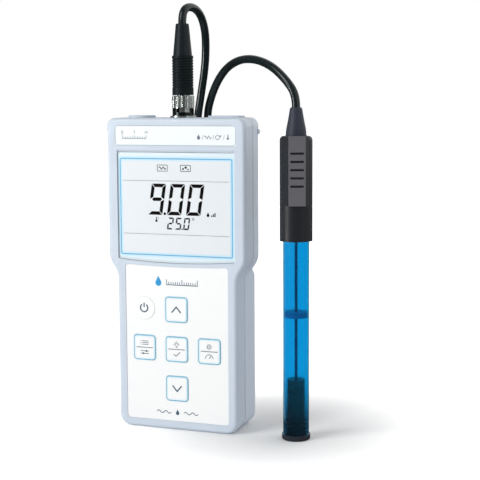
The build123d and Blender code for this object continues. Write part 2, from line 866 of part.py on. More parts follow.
def make_plug_insulator():
    """White core that holds the centre pin."""
    low = jack_top + plug_core_low
    high = low + plug_core_length
    body = rod_z(jack_x, socket_y, sleeve_bore - running_gap, low, high)
    return body - rod_z(jack_x, socket_y, centre_pin_radius + running_gap, low - 1, high + 1)


def make_plug_pin():
    """Centre pin of the plug."""
    low = jack_top + centre_pin_low
    return rod_z(jack_x, socket_y, centre_pin_radius, low, low + centre_pin_length)


def make_plug_grip():
    """Ribbed sleeve over the plug's neck."""
    rib_low = grip_low + rib_start
    points = [(plug_neck + running_gap, grip_low), (grip_radius, grip_low)]
    for i in range(rib_count):
        z = rib_low + i * rib_pitch
        points += [(grip_radius, z), (grip_radius - rib_depth, z + rib_pitch * 0.25)]
        points += [(grip_radius - rib_depth, z + rib_pitch * 0.45), (grip_radius, z + rib_pitch * 0.7)]
    points += [(grip_radius, grip_high), (plug_neck + running_gap, grip_high)]
    return revolved(points, jack_x, socket_y)


def make_plug_boot():
    """Tapered strain relief above the grip, closed round the lead."""
    tail_low = jack_top + jack_barrel_length + 0.3 + plug_flange_thick + plug_neck_length + 0.2
    points = [
        (0, tail_low),
        (plug_neck, tail_low),
        (plug_neck, grip_high),
        (boot_base_radius, grip_high),
        (boot_top_radius, boot_high - 0.5),
        (boot_top_radius - 0.4, boot_high),
        (0, boot_high),
    ]
    return revolved(points, jack_x, socket_y)


def make_probe_boot():
    """Flared strain relief on top of the electrode cap."""
    top = cap_high + probe_boot_height
    points = [
        (0, cap_high),
        (probe_boot_base, cap_high),
        (5.85, cap_high + 4.1),
        (5.0, cap_high + 8.5),
        (4.25, cap_high + 12.4),
        (probe_boot_neck, cap_high + 15.6),
        (probe_boot_neck - 0.6, top),
        (0, top),
    ]
    return revolved(points, probe_x, probe_y)


def make_probe_cap():
    """Electrode head: plain part below a fine groove, and a raised thumb pad cut by slots."""
    body = rod_z(0, 0, cap_radius, cap_low, cap_high)
    body = fillet(body.faces().sort_by(Axis.Z)[-1].edges(), cap_round)
    pad = Polyline((-pad_root_half, -pad_root), (-pad_half, -pad_face), (pad_half, -pad_face),
                   (pad_root_half, -pad_root), close=True)
    pad = Pos(0, 0, pad_low) * extrude(make_face(pad), amount=cap_high - pad_low)
    arch_low = cap_high - pad_arch
    side = Polyline((-cap_radius, arch_low), (-cap_radius, pad_low - 1), (cap_radius, pad_low - 1),
                    (cap_radius, arch_low))
    arch = ThreePointArc((cap_radius, arch_low), (0, cap_high + pad_rise), (-cap_radius, arch_low))
    body += pad & prism_y(make_face([*side.edges(), arch]), -2 * pad_face, 0)
    groove = rod_z(0, 0, 2 * cap_radius, cap_groove_low, cap_groove_low + cap_groove_height)
    body -= groove - rod_z(0, 0, cap_radius - cap_groove_depth, cap_low, cap_high)
    for i in range(pad_slot_count):
        z = pad_slot_high - i * pad_slot_pitch
        slot = SlotOverall(2 * pad_slot_half, pad_slot_height)
        body -= prism_y(Pos(0, z) * slot, -pad_face - 1, -pad_face + pad_slot_depth)
    body -= rod_z(0, 0, tube_radius + running_gap, cap_low - 1, cap_low + cap_socket)
    return Pos(probe_x, probe_y, 0) * Rot(0, 0, pad_turn) * body


def make_probe_tube():
    """Clear blue tube from the end flange into the cap."""
    low = flange_height
    high = cap_low + cap_socket
    return rod_z(probe_x, probe_y, tube_radius, low, high) - rod_z(
        probe_x, probe_y, tube_radius - tube_wall, low - 1, high + 1)


def make_spacer():
    """Disc that centres the inner stem in the tube."""
    high = spacer_low + spacer_height
    body = rod_z(probe_x, probe_y, tube_radius - tube_wall - running_gap, spacer_low, high)
    return body - rod_z(probe_x, probe_y, stem_radius + running_gap, spacer_low - 1, high + 1)


def make_module():
    """Sensor module with thread rings at its foot."""
    body = rod_z(probe_x, probe_y, module_radius, flange_height, module_high)
    pitch = (module_thread_high - flange_height) / thread_ring_count
    for i in range(thread_ring_count):
        z = flange_height + 0.6 + i * pitch
        body += rod_z(probe_x, probe_y, thread_ring_radius, z, z + thread_ring_height)
    return body


def make_end_flange():
    """Foot of the electrode with a recess for the membrane."""
    body = rod_z(probe_x, probe_y, flange_radius, 0, flange_height)
    body = fillet(body.faces().sort_by(Axis.Z)[0].edges(), flange_round)
    return body - rod_z(probe_x, probe_y, membrane_radius + running_gap, -1, flange_height + 1)


def lead_tube(points):
    """A plain tube along straight runs joined by arcs as large as the runs allow."""
    radii = []
    vectors = [Vector(*p) for p in points]
    for a, b, c in zip(vectors, vectors[1:], vectors[2:]):
        turn = math.radians((b - a).get_angle(c - b))
        radii.append(0.45 * min((b - a).length, (c - b).length) / math.tan(turn / 2))
    path = FilletPolyline(*points, radius=radii)
    start = Plane(origin=points[0], z_dir=vectors[1] - vectors[0])
    tube = sweep(start * Circle(cord_diameter / 2), path=path)
    section = math.pi * cord_diameter ** 2 / 4
    print("lead radii", [round(r, 1) for r in radii], "length", round(path.length, 1),
          "volume ratio", round(tube.volume / (section * path.length), 4))
    return tube


# The lead leaves the plug upward, turns over at once and hangs behind the case to the coil.
from_plug = [
    (jack_x, socket_y, boot_high),
    (jack_x, socket_y, 259.4),
    (1.3, 1.2, 263.8),
    (2.8, 9.5, 264.0),
    (3.6, 18.5, 260.4),
    (3.6, 25.5, 252.6),
    (3.0, 29.2, 243.0),
    (1.6, 31.0, 228.0),
    (-1.6, 31.8, 211.0),
    (-5.4, 33.5, 193.0),
    (-9.5, 41.0, 170.0),
    (-12.5, 51.5, 142.0),
    (-11.0, 57.5, 107.0),
    (-5.5, 56.0, 72.0),
    (-1.5, 52.0, 42.0),
    (-0.6, 50.2, 26.0),
    (-0.8, 50.4, 15.4),
    (-0.9, 55.0, 7.3),
    (-1.0, 63.1, 2.7),
    (-1.0, 72.2, 2.65),
]

# From the coil the lead climbs behind the case and arches over to the electrode.
to_probe = [
    (-20.0, 44.2, 11.9),
    (-9.0, 43.6, 13.4),
    (2.5, 43.2, 19.0),
    (9.5, 44.5, 34.0),
    (12.5, 49.0, 62.0),
    (11.5, 54.5, 96.0),
    (8.0, 58.0, 128.0),
    (3.0, 53.5, 156.0),
    (-0.8, 45.0, 178.0),
    (-1.2, 39.5, 196.5),
    (5.2, 35.6, 213.0),
    (15.2, 28.6, 225.2),
    (28.0, 19.0, 231.4),
    (43.0, 7.6, 231.8),
    (58.0, -3.2, 227.0),
    (69.4, -9.4, 218.0),
    (probe_x, probe_y, 209.2),
    (probe_x, probe_y, cap_high + probe_boot_height),
]


def make_coil():
    """Outer shape of the lead's coil on the floor."""
    half = cord_diameter / 2 + coil_spread
    height = coil_turns_high * cord_diameter
    return rod_z(coil_x, coil_y, coil_radius + half, 0, height) - rod_z(
        coil_x, coil_y, coil_radius - half, -1, height + 1)


keep("front_shell", make_front_shell())
keep("rear_shell", make_rear_shell())
keep("case_gasket", prism_y(case_outline(gasket_inset), front_half_y, rear_half_y)
     - prism_y(case_outline(side_wall), front_half_y - 1, rear_half_y + 1) - top_openings())
keep("head_strip", prism_y(strip_face(0), front_y + strip_set_in, front_y + strip_set_in + strip_thick))
keep("display_window", prism_y(lens_outline(0), lens_y, rim_y))
keep("lcd_panel", block(-screen_half - lcd_margin, screen_half + lcd_margin, lcd_y, backlight_y,
                        screen_low - lcd_margin, screen_high + lcd_margin))
keep("backlight", block(-screen_half, screen_half, backlight_y, board_y, screen_low, screen_high))
keep("main_board", make_board())
keep("board_chips", make_chips())
keep("board_cans", make_cans())
overlay = prism_y(overlay_face(0), overlay_y, overlay_y + overlay_thick)
for key in key_places:
    overlay -= prism_y(key_face(key, key_gap), overlay_y - 1, overlay_y + overlay_thick + 1)
keep("keypad_overlay", overlay)
for key in key_places:
    keep(key, make_key(key))
keep("dome_mat", make_dome_mat())
keep("battery_cells", make_cells())
keep("battery_contacts", make_contacts())
keep("battery_door", make_battery_door())
keep("rating_label", rear_label(0, label_thick))
keep("door_gasket", make_door_gasket())
keep("door_screws", Compound([
    screw(0, z, door_screw_head, door_screw_radius, screw_head_thick, back_y - screw_sunk,
          back_y - screw_sunk - screw_head_thick - door_screw_length) for z in door_screw_heights()]))
keep("case_screws", Compound([
    screw(x, z, screw_head_radius, screw_radius, case_screw_head_thick, screw_head_y(z),
          front_half_y - screw_bite)
    for x, z in mirrored_places()]))
keep("stand", make_stand())
keep("stand_pin", make_stand_pin())
keep("bnc_jack", make_jack())
keep("jack_nut", make_jack_nut())
keep("jack_insulator", make_jack_insulator())
keep("jack_contact", make_jack_contact())
keep("temp_socket", make_temp_socket())
keep("temp_cap", make_temp_cap())
keep("port_socket", make_port_socket())
keep("port_cover", make_port_cover())
keep("coupling_ring", make_coupling_ring())
keep("plug_body", make_plug_body())
keep("plug_insulator", make_plug_insulator())
keep("plug_pin", make_plug_pin())
keep("plug_grip", make_plug_grip())
keep("plug_boot", make_plug_boot())
keep("probe_boot", make_probe_boot())
keep("probe_cap", make_probe_cap())
keep("probe_tube", make_probe_tube())
keep("inner_stem", rod_z(probe_x, probe_y, stem_radius, module_high, cap_low + cap_socket))
keep("spacer_ring", make_spacer())
keep("sensor_module", make_module())
keep("end_flange", make_end_flange())
keep("membrane", rod_z(probe_x, probe_y, membrane_radius, membrane_recess, flange_height))
coil = make_coil()
keep("cord_coil", coil)
keep("cord_from_plug", lead_tube(from_plug) - coil)
keep("cord_to_probe", lead_tube(to_probe) - coil)

for name, shape in parts.items():
    export_step(shape, f"parts/{name}.step")
print(len(parts), "sub-parts written")
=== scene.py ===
"""Looks of a handheld pH and ion meter with its electrode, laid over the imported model.

Metres throughout: +X runs across the width, the keypad faces -Y and +Z is up.
"""

import math

import bpy
import numpy as np
from bpy.props import FloatProperty, FloatVectorProperty, IntProperty, PointerProperty
from bpy.types import Operator, Panel, PropertyGroup
from mathutils import Matrix, Vector


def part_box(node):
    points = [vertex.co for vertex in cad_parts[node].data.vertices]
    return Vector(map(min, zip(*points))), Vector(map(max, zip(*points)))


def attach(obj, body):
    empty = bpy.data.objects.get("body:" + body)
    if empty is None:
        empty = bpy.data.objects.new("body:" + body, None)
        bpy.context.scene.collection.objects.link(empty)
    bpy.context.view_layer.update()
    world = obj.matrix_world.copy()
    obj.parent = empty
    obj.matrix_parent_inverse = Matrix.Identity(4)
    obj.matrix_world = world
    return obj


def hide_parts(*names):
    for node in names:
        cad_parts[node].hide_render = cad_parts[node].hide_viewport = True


bl_info = {
    "name": "Ion meter looks",
    "version": (1, 0, 0),
    "blender": (4, 5, 0),
    "location": "3D View > Sidebar > Ion meter",
    "description": "Dresses a handheld ion meter, its lead and its electrode",
    "category": "Add Mesh",
}

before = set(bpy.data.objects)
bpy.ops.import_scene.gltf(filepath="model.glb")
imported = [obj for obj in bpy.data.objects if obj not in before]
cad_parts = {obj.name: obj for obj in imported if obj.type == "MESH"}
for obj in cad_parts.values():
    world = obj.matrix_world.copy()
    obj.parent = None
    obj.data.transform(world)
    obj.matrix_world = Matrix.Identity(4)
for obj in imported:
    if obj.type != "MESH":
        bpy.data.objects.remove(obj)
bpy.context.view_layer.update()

MM = 0.001
KEYS = ("key_power", "key_up", "key_mode", "key_enter", "key_cal", "key_down")
window_low, window_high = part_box("display_window")
strip_low, strip_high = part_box("head_strip")
overlay_low, overlay_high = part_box("keypad_overlay")
plug_boot_low, plug_boot_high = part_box("plug_boot")
probe_boot_low, probe_boot_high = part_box("probe_boot")
coil_low, coil_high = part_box("cord_coil")
ring_low, ring_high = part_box("coupling_ring")
key_boxes = {key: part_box(key) for key in KEYS}


def srgb(red, green, blue):
    """A screen colour from 0 to 255 in linear light."""
    share = np.array([red, green, blue]) / 255
    linear = np.where(share <= 0.04045, share / 12.92, ((share + 0.055) / 1.055) ** 2.4)
    return tuple(float(value) for value in linear)


def length(name, description, millimetres):
    """A size that a user may change, written in millimetres."""
    return FloatProperty(name=name, description=description, default=millimetres * MM,
                         unit="LENGTH", precision=5)


def colour(name, description, red, green, blue):
    """A colour that a user may change, written as a screen colour."""
    return FloatVectorProperty(name=name, description=description, size=3, subtype="COLOR",
                               min=0.0, max=1.0, default=srgb(red, green, blue))


class DisplaySizes(PropertyGroup):
    """Sizes of what the display shows, measured on the window's face."""

    film_margin: length("Film margin", "Bare edge of the window round the film", 0.15)
    film_bow: length("Film bow", "Drop of the film's lower edge at its middle", 1.9)
    film_thick: length("Film thickness", "Printed film on the window", 0.05)
    line_half: length("Line half width", "Half the width of the blue frame line", 37.17)
    line_low: length("Line low", "Height of the frame line's lower side", 110.8)
    line_high: length("Line high", "Height of the frame line's upper side", 170.72)
    line_corner: length("Line corner", "Corner radius of the frame line", 0.9)
    line_width: length("Line width", "Width of the frame line", 0.55)
    glow_width: length("Glow width", "Reach of the pale glow beside the line", 2.3)
    divider_half: length("Divider half", "Half the length of the display's dividers", 35.3)
    divider_upper: length("Upper divider", "Height of the upper divider", 157.05)
    divider_lower: length("Lower divider", "Height of the lower divider", 123.85)
    divider_width: length("Divider width", "Width of the dividers", 0.3)
    digit_left: length("Digit left", "Left end of the large digits", -18.65)
    digit_low: length("Digit low", "Foot of the large digits", 135.95)
    digit_height: length("Digit height", "Height of the large digits", 19.35)
    digit_width: length("Digit width", "Width of one large digit", 9.6)
    digit_pitch: length("Digit pitch", "Step from one large digit to the next", 12.7)
    digit_bar: length("Digit bar", "Width of a bar of the large digits", 2.15)
    digit_gap: length("Digit gap", "Gap between two bars", 0.28)
    small_left: length("Small digit left", "Left end of the small digits", -6.1)
    small_low: length("Small digit low", "Foot of the small digits", 127.0)
    small_height: length("Small digit height", "Height of the small digits", 7.5)
    small_width: length("Small digit width", "Width of one small digit", 3.9)
    small_pitch: length("Small digit pitch", "Step from one small digit to the next", 5.4)
    small_bar: length("Small digit bar", "Width of a bar of the small digits", 0.98)
    slant: FloatProperty(name="Slant", description="Lean of the digits, sideways per height", default=0.15)


class PrintSizes(PropertyGroup):
    """Sizes of the marks printed on the keypad and the strip."""

    ink: length("Ink thickness", "Height of a printed mark", 0.03)
    outline_width: length("Key outline", "Width of the blue outline of a key", 0.5)
    key_width: length("Key width", "Width of a key's outline", 14.7)
    key_height: length("Key height", "Height of a key's outline", 15.8)
    key_corner: length("Key corner", "Corner radius of a key's outline", 2.2)
    key_glow: length("Key glow", "Reach of the glow inside a key's outline", 2.2)
    power_radius: length("Power key radius", "Radius of the round key", 7.2)
    seal_width: length("Key seal", "Soft seal in the gap round a key", 0.26)
    # Painted shadow: a grey line round the strip in place of the shade along its edge.
    edge_shadow_width: length("Seam", "Width of the shade line along the strip's edge", 0.3)
    edge_shadow_corner: length("Seam corner", "Corner radius of the strip's shade line", 2.2)
    icon_line: length("Icon line", "Line width of the small pictograms", 0.42)
    bold_line: length("Bold line", "Line width of chevrons and the power sign", 0.85)


class LeadSizes(PropertyGroup):
    """Sizes of the lead."""

    diameter: length("Diameter", "Diameter of the lead", 5.1)
    cut_length: length("Length", "Length of the lead from boot to boot", 950.0)
    coil_radius: length("Coil radius", "Radius of the coil's turns at their middle", 28.0)
    turn_points: IntProperty(name="Points a turn", description="Spline points in a turn", default=14, min=12)


class Finishes(PropertyGroup):
    """Colours of the finishes."""

    case: colour("Case", "Pale case plastic", 210, 221, 234)
    case_back: colour("Case back", "Plastic of the rear half", 216, 226, 238)
    strip: colour("Strip", "White strip in the head", 247, 254, 255)
    label: colour("Label", "White keypad label", 254, 255, 255)
    key_blue: colour("Key blue", "Outlines of the keys", 120, 196, 226)
    ink_blue: colour("Ink blue", "Dark blue-grey ink of the pictograms", 66, 96, 116)
    ink_grey: colour("Ink grey", "Grey ink", 112, 122, 132)
    accent: colour("Accent", "Bright blue ink", 34, 160, 224)
    frame_line: colour("Frame line", "Blue line round the display", 84, 176, 224)
    glow: colour("Glow", "Pale glow beside the line", 196, 235, 253)
    border: colour("Border", "White border of the window", 232, 246, 253)
    screen: colour("Screen", "Ground of the display", 236, 241, 245)
    digits: colour("Digits", "Dark bars of the digits", 16, 9, 9)
    seal: colour("Seal", "Dark seal between the case halves", 62, 70, 80)
    # Painted shadow: colour of the grey line that stands in for the shade along the strip's edge.
    seam: colour("Seam", "Shade line round the strip", 176, 186, 198)
    key_glow: colour("Key glow", "Pale blue print inside a key's outline", 214, 238, 248)
    grip: colour("Grip", "Plug grip", 14, 26, 28)
    boot: colour("Boot", "Plug boot", 20, 32, 36)
    probe_boot: colour("Electrode boot", "Boot over the electrode", 52, 56, 70)
    cord: colour("Lead", "Jacket of the lead", 14, 28, 30)
    cap: colour("Cap", "Electrode cap", 35, 37, 42)
    # Painted highlight: the pad's lighter grey stands in for the front light that its flat face reflects.
    pad: colour("Pad", "Highlit face of the thumb pad", 104, 103, 107)
    tube: colour("Tube", "Clear blue tube", 14, 190, 230)
    stem: colour("Stem", "Inner stem", 6, 36, 92)
    module: colour("Module", "Sensor module", 14, 18, 26)
    nickel: colour("Nickel", "Nickel plating", 166, 171, 168)
    # Painted shade: the ring's skirt is coloured dark in place of the dark surroundings its nickel reflects.
    skirt_shade: colour("Darkening", "Dark skirt of the ring", 40, 44, 44)
    floor: colour("Floor", "Studio floor", 244, 244, 244)


class StageSettings(PropertyGroup):
    """Camera and lamps."""

    lens: FloatProperty(name="Lens", description="Focal length in mm on a 36 mm sensor", default=90.085)
    yaw: FloatProperty(name="Yaw", description="Turn of the camera to the left", subtype="ANGLE",
                       default=math.radians(19.771))
    pitch: FloatProperty(name="Pitch", description="Tilt of the camera downward", subtype="ANGLE",
                         default=math.radians(6.793))
    roll: FloatProperty(name="Roll", description="Roll of the camera", subtype="ANGLE",
                        default=math.radians(-0.316))
    place: FloatVectorProperty(name="Place", description="Place of the camera", subtype="TRANSLATION",
                               unit="LENGTH", size=3, default=(0.28704, -0.6985, 0.20833))
    key_power: FloatProperty(name="Key lamp", description="Watts of the large lamp", default=17.2)
    low_power: FloatProperty(name="Low lamp", description="Watts of the low lamp at the left", default=4.0)
    strip_power: FloatProperty(name="Strip lamp", description="Watts of the narrow lamp", default=0.8)
    ambient: FloatProperty(name="Ambient", description="Strength of the surroundings in front", default=0.2)
    backdrop: FloatProperty(name="Backdrop", description="Strength of the surroundings behind", default=1.15)
    gloss: FloatProperty(name="Gloss", description="Share of the floor that reflections show", default=0.15)
    # The floor's glow rises from near to far round the meter's right foot; less glow nearby leaves a painted
    # darker patch there.
    near_glow: FloatProperty(name="Near glow", description="White added to the floor nearby", default=0.0)
    far_glow: FloatProperty(name="Far glow", description="White added to the floor far away", default=1.0)


def new_object(name, mesh, body, material):
    """Links a finished mesh and lets it ride on a body."""
    obj = bpy.data.objects.new(name, mesh)
    bpy.context.scene.collection.objects.link(obj)
    mesh.materials.append(material)
    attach(obj, body)
    return obj


def assemble(name, parts):
    """One mesh from pairs of points and faces; each part's faces count on from the last part's points."""
    starts = np.cumsum([0] + [len(points) for points, faces in parts])
    points = np.concatenate([points for points, faces in parts])
    faces = [[index + int(start) for index in face]
             for start, (_, part) in zip(starts, parts) for face in part]
    mesh = bpy.data.meshes.new(name)
    mesh.from_pydata(points.tolist(), [], faces)
    mesh.update()
    return mesh


def patch(outline, front, thick):
    """A flat filled mark: an outline of X and Z, counter-clockwise, given a front, a back and a wall."""
    outline = np.asarray(outline, float)
    count = len(outline)
    layers = [np.insert(outline, 1, y, axis=1) for y in (front, front + thick)]
    first = np.arange(count)
    after = (first + 1) % count
    walls = np.stack([first, first + count, after + count, after], 1)
    faces = [first.tolist(), (first + count)[::-1].tolist()] + walls.tolist()
    return np.concatenate(layers), faces


def band(path, width, front, thick, closed=False):
    """A stroke of even width: each path point moves half the width to both sides along the mitred normal."""
    path = np.asarray(path, float)
    ahead = np.roll(path, -1, 0) - path
    if not closed:
        ahead[-1] = ahead[-2]
    ahead /= np.linalg.norm(ahead, axis=1)[:, None]
    behind = np.roll(ahead, 1, 0)
    if not closed:
        behind[0] = ahead[0]
    middle = ahead + behind
    middle /= np.linalg.norm(middle, axis=1)[:, None]
    reach = width / 2 / np.maximum((middle * ahead).sum(1), 0.4)
    side = np.stack([-middle[:, 1], middle[:, 0]], 1) * reach[:, None]
    if not closed:
        return patch(np.concatenate([path - side, (path + side)[::-1]]), front, thick)
    count = len(path)
    rails = [np.insert(rail, 1, y, axis=1)
             for y in (front, front + thick) for rail in (path - side, path + side)]
    first = np.arange(count)
    after = (first + 1) % count
    corners = [0, 1, 3, 2]
    faces = []
    for one, two in zip(corners, corners[1:] + corners[:1]):
        near = one * count
        far = two * count
        faces += np.stack([first + near, after + near, after + far, first + far], 1).tolist()
    return np.concatenate(rails), faces


def arc(x, z, radius, start, end, steps):
    """Points on a circle about x, z from one angle in degrees to another."""
    angle = np.radians(np.linspace(start, end, steps))
    return np.stack([x + radius * np.cos(angle), z + radius * np.sin(angle)], 1)


def disc(x, z, radius, steps=20):
    """The outline of a dot."""
    return arc(x, z, radius, 0, 360, steps + 1)[:-1]


def rounded(x, z, width, height, corner, steps=9):
    """A rounded rectangle, counter-clockwise: a quarter circle about each corner's centre."""
    reach_x = width / 2 - corner
    reach_z = height / 2 - corner
    centres = ((reach_x, reach_z, 0), (-reach_x, reach_z, 90),
               (-reach_x, -reach_z, 180), (reach_x, -reach_z, 270))
    return np.concatenate([arc(x + dx, z + dz, corner, start, start + 90, steps)
                           for dx, dz, start in centres])


def drop(x, z, height):
    """A drop: a circle below, and two straight sides that meet in a point above."""
    radius = height * 0.32
    low = arc(x, z - height / 2 + radius, radius, 150, 390, 19)
    return np.concatenate([low, [(x, z + height / 2)]])


def wave(x, z, width, height, turns=2, steps=25):
    """A sine wave across a width."""
    share = np.linspace(0, 1, steps)
    return np.stack([x + (share - 0.5) * width, z + height / 2 * np.sin(share * turns * 2 * np.pi)], 1)


BARS = {
    "0": "abcdef", "1": "bc", "2": "abdeg", "3": "abcdg", "4": "bcfg",
    "5": "acdfg", "6": "acdefg", "7": "abc", "8": "abcdefg", "9": "abcdfg",
}


def digit_bars(digit, left, low, width, height, bar, gap, slant):
    """The bars of one digit as four- or six-cornered outlines, leaning sideways with their height."""
    middle = height / 2
    half = bar / 2
    near = bar + gap
    far = width - near
    tip = bar * 0.55 + gap
    top = [(gap, height), (bar + gap / 2, height - bar), (width - bar - gap / 2, height - bar),
           (width - gap, height)]
    upper = [(0, height - gap), (0, middle + gap / 2), (bar, middle + half + gap), (bar, height - near)]
    centre = [(tip, middle), (near, middle - half), (far, middle - half),
              (width - tip, middle), (far, middle + half), (near, middle + half)]
    across = np.array([width, 0.0])
    down = np.array([0.0, height])
    turn_x = np.array([-1.0, 1.0])
    turn_z = np.array([1.0, -1.0])
    shapes = {
        "a": np.array(top),
        "b": (across + np.array(upper) * turn_x)[::-1],
        "c": across + down + np.array(upper) * turn_x * turn_z,
        "d": (down + np.array(top) * turn_z)[::-1],
        "e": (down + np.array(upper) * turn_z)[::-1],
        "f": np.array(upper),
        "g": np.array(centre),
    }
    lean = np.array([[1.0, 0.0], [slant, 1.0]])
    return [shapes[bar_name] @ lean + (left, low) for bar_name in BARS[digit]]


def new_material(name):
    """A material with its Principled shader."""
    material = bpy.data.materials.new(name)
    material.use_nodes = True
    return material, material.node_tree, material.node_tree.nodes["Principled BSDF"]


def calc(tree, operation, *values):
    """One Math node; numbers are set on its sockets and sockets are linked to them."""
    node = tree.nodes.new("ShaderNodeMath")
    node.operation = operation
    for socket, value in zip(node.inputs, values):
        if isinstance(value, (int, float)):
            socket.default_value = value
        else:
            tree.links.new(value, socket)
    return node.outputs[0]


def ramp(tree, value, low, high, start=0.0, end=1.0):
    """A smooth step of a value from start at low to end at high."""
    node = tree.nodes.new("ShaderNodeMapRange")
    node.interpolation_type = "SMOOTHSTEP"
    tree.links.new(value, node.inputs["Value"])
    for name, number in (("From Min", low), ("From Max", high), ("To Min", start), ("To Max", end)):
        node.inputs[name].default_value = number
    return node.outputs["Result"]


def blend(tree, share, first, second):
    """A mix of two colours; each is a colour or a socket."""
    node = tree.nodes.new("ShaderNodeMix")
    node.data_type = "RGBA"
    tree.links.new(share, node.inputs[0])
    for socket, value in ((node.inputs[6], first), (node.inputs[7], second)):
        if isinstance(value, bpy.types.NodeSocket):
            tree.links.new(value, socket)
        else:
            socket.default_value = (*tuple(value)[:3], 1.0)
    return node.outputs[2]


def coordinates(tree):
    """The X, Y and Z sockets of the object's own coordinates."""
    place = tree.nodes.new("ShaderNodeTexCoord")
    parts = tree.nodes.new("ShaderNodeSeparateXYZ")
    tree.links.new(place.outputs["Object"], parts.inputs[0])
    return parts.outputs["X"], parts.outputs["Y"], parts.outputs["Z"]


def tint_over(material, share, tint):
    """Lays a second tint over a finish's own colour, as far as the share says."""
    tree = material.node_tree
    socket = tree.nodes["Principled BSDF"].inputs["Base Color"]
    tree.links.new(blend(tree, share, socket.links[0].from_socket, tint), socket)


def grain_group():
    """Fine grain and slow mottle over the object's own coordinates, stretched along a direction."""
    found = bpy.data.node_groups.get("Surface grain")
    if found:
        return found
    group = bpy.data.node_groups.new("Surface grain", "ShaderNodeTree")
    face = group.interface
    for name, kind in (("Grain size", "NodeSocketFloat"), ("Mottle size", "NodeSocketFloat"),
                       ("Stretch", "NodeSocketVector")):
        face.new_socket(name, in_out="INPUT", socket_type=kind)
    for name in ("Height", "Mottle"):
        face.new_socket(name, in_out="OUTPUT", socket_type="NodeSocketFloat")
    given = group.nodes.new("NodeGroupInput")
    result = group.nodes.new("NodeGroupOutput")
    place = group.nodes.new("ShaderNodeTexCoord")
    scaled = group.nodes.new("ShaderNodeVectorMath")
    scaled.operation = "MULTIPLY"
    group.links.new(place.outputs["Object"], scaled.inputs[0])
    group.links.new(given.outputs["Stretch"], scaled.inputs[1])
    for size, detail, output in (("Grain size", 2.0, "Height"), ("Mottle size", 3.0, "Mottle")):
        noise = group.nodes.new("ShaderNodeTexNoise")
        noise.inputs["Detail"].default_value = detail
        source = scaled.outputs[0] if output == "Height" else place.outputs["Object"]
        group.links.new(source, noise.inputs["Vector"])
        group.links.new(calc(group, "DIVIDE", 1.0, given.outputs[size]), noise.inputs["Scale"])
        group.links.new(noise.outputs["Fac"], result.inputs[output])
    return group


def surface(name, tint, shade=0.92, rough=(0.4, 0.5), grain=0.4, relief=0.01, mottle=25.0,
            stretch=(1.0, 1.0, 1.0), sockets=None):
    """A solid finish: its colour and roughness drift with the mottle and its grain is a shallow bump.

    Grain, relief and mottle are in millimetres; sockets are set on the shader itself."""
    material, tree, shader = new_material(name)
    skin = tree.nodes.new("ShaderNodeGroup")
    skin.node_tree = grain_group()
    skin.inputs["Grain size"].default_value = grain * MM
    skin.inputs["Mottle size"].default_value = mottle * MM
    skin.inputs["Stretch"].default_value = stretch
    share = ramp(tree, skin.outputs["Mottle"], 0.3, 0.7)
    darker = tuple(value * shade for value in tint)
    tree.links.new(blend(tree, share, tint, darker), shader.inputs["Base Color"])
    tree.links.new(ramp(tree, skin.outputs["Mottle"], 0.3, 0.7, *rough), shader.inputs["Roughness"])
    bump = tree.nodes.new("ShaderNodeBump")
    bump.inputs["Distance"].default_value = relief * MM
    tree.links.new(skin.outputs["Height"], bump.inputs["Height"])
    tree.links.new(bump.outputs["Normal"], shader.inputs["Normal"])
    for socket, value in (sockets or {}).items():
        shader.inputs[socket].default_value = value
    return material


def dress(material, *nodes):
    """Gives CAD nodes a finish through their material slots."""
    for node in nodes:
        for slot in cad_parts[node].material_slots:
            slot.material = material


def film_material(sizes, tints):
    """The printed film: distance to a rounded box gives the blue line, its glow and the screen inside it; a
    darker band above the bowed lower edge is painted shade of the recess wall.
    """
    material, tree, shader = new_material("printed film")
    x, _, z = coordinates(tree)
    middle = (sizes.line_low + sizes.line_high) / 2
    half_height = (sizes.line_high - sizes.line_low) / 2
    corner = sizes.line_corner
    across = calc(tree, "SUBTRACT", calc(tree, "ABSOLUTE", x), sizes.line_half - corner)
    rise = calc(tree, "ABSOLUTE", calc(tree, "SUBTRACT", z, middle))
    upward = calc(tree, "SUBTRACT", rise, half_height - corner)
    past_side = calc(tree, "POWER", calc(tree, "MAXIMUM", across, 0.0), 2.0)
    past_end = calc(tree, "POWER", calc(tree, "MAXIMUM", upward, 0.0), 2.0)
    outside = calc(tree, "SQRT", calc(tree, "ADD", past_side, past_end))
    inside = calc(tree, "MINIMUM", calc(tree, "MAXIMUM", across, upward), 0.0)
    signed = calc(tree, "SUBTRACT", calc(tree, "ADD", outside, inside), corner)
    distance = calc(tree, "ABSOLUTE", signed)
    in_screen = ramp(tree, signed, -0.1 * MM, 0.1 * MM, 1.0, 0.0)
    ground = blend(tree, in_screen, tints.border, tints.screen)
    glow = ramp(tree, distance, 0.0, sizes.glow_width, 0.95, 0.0)
    glowing = blend(tree, glow, ground, tints.glow)
    line = ramp(tree, distance, sizes.line_width * 0.35, sizes.line_width * 0.75, 1.0, 0.0)
    lined = blend(tree, line, glowing, tints.frame_line)
    # Painted shade: a darker band just above the bowed lower edge stands in for the shade of the window's
    # recess wall.
    bow = calc(tree, "POWER", calc(tree, "DIVIDE", x, window_high.x), 2.0)
    lowest = calc(tree, "ADD", calc(tree, "MULTIPLY", bow, sizes.film_bow), window_low.z)
    above = calc(tree, "SUBTRACT", z, lowest)
    shade = calc(tree, "MULTIPLY", ramp(tree, above, 0.3 * MM, 0.8 * MM),
                 ramp(tree, above, 0.9 * MM, 1.7 * MM, 1.0, 0.0))
    recess_shade_tint = tuple(value * 0.8 for value in tints.border)
    shaded = blend(tree, calc(tree, "MULTIPLY", shade, 0.8), lined, recess_shade_tint)
    tree.links.new(shaded, shader.inputs["Base Color"])
    shader.inputs["Roughness"].default_value = 0.3
    shader.inputs["Coat Weight"].default_value = 0.4
    shader.inputs["Coat Roughness"].default_value = 0.08
    return material


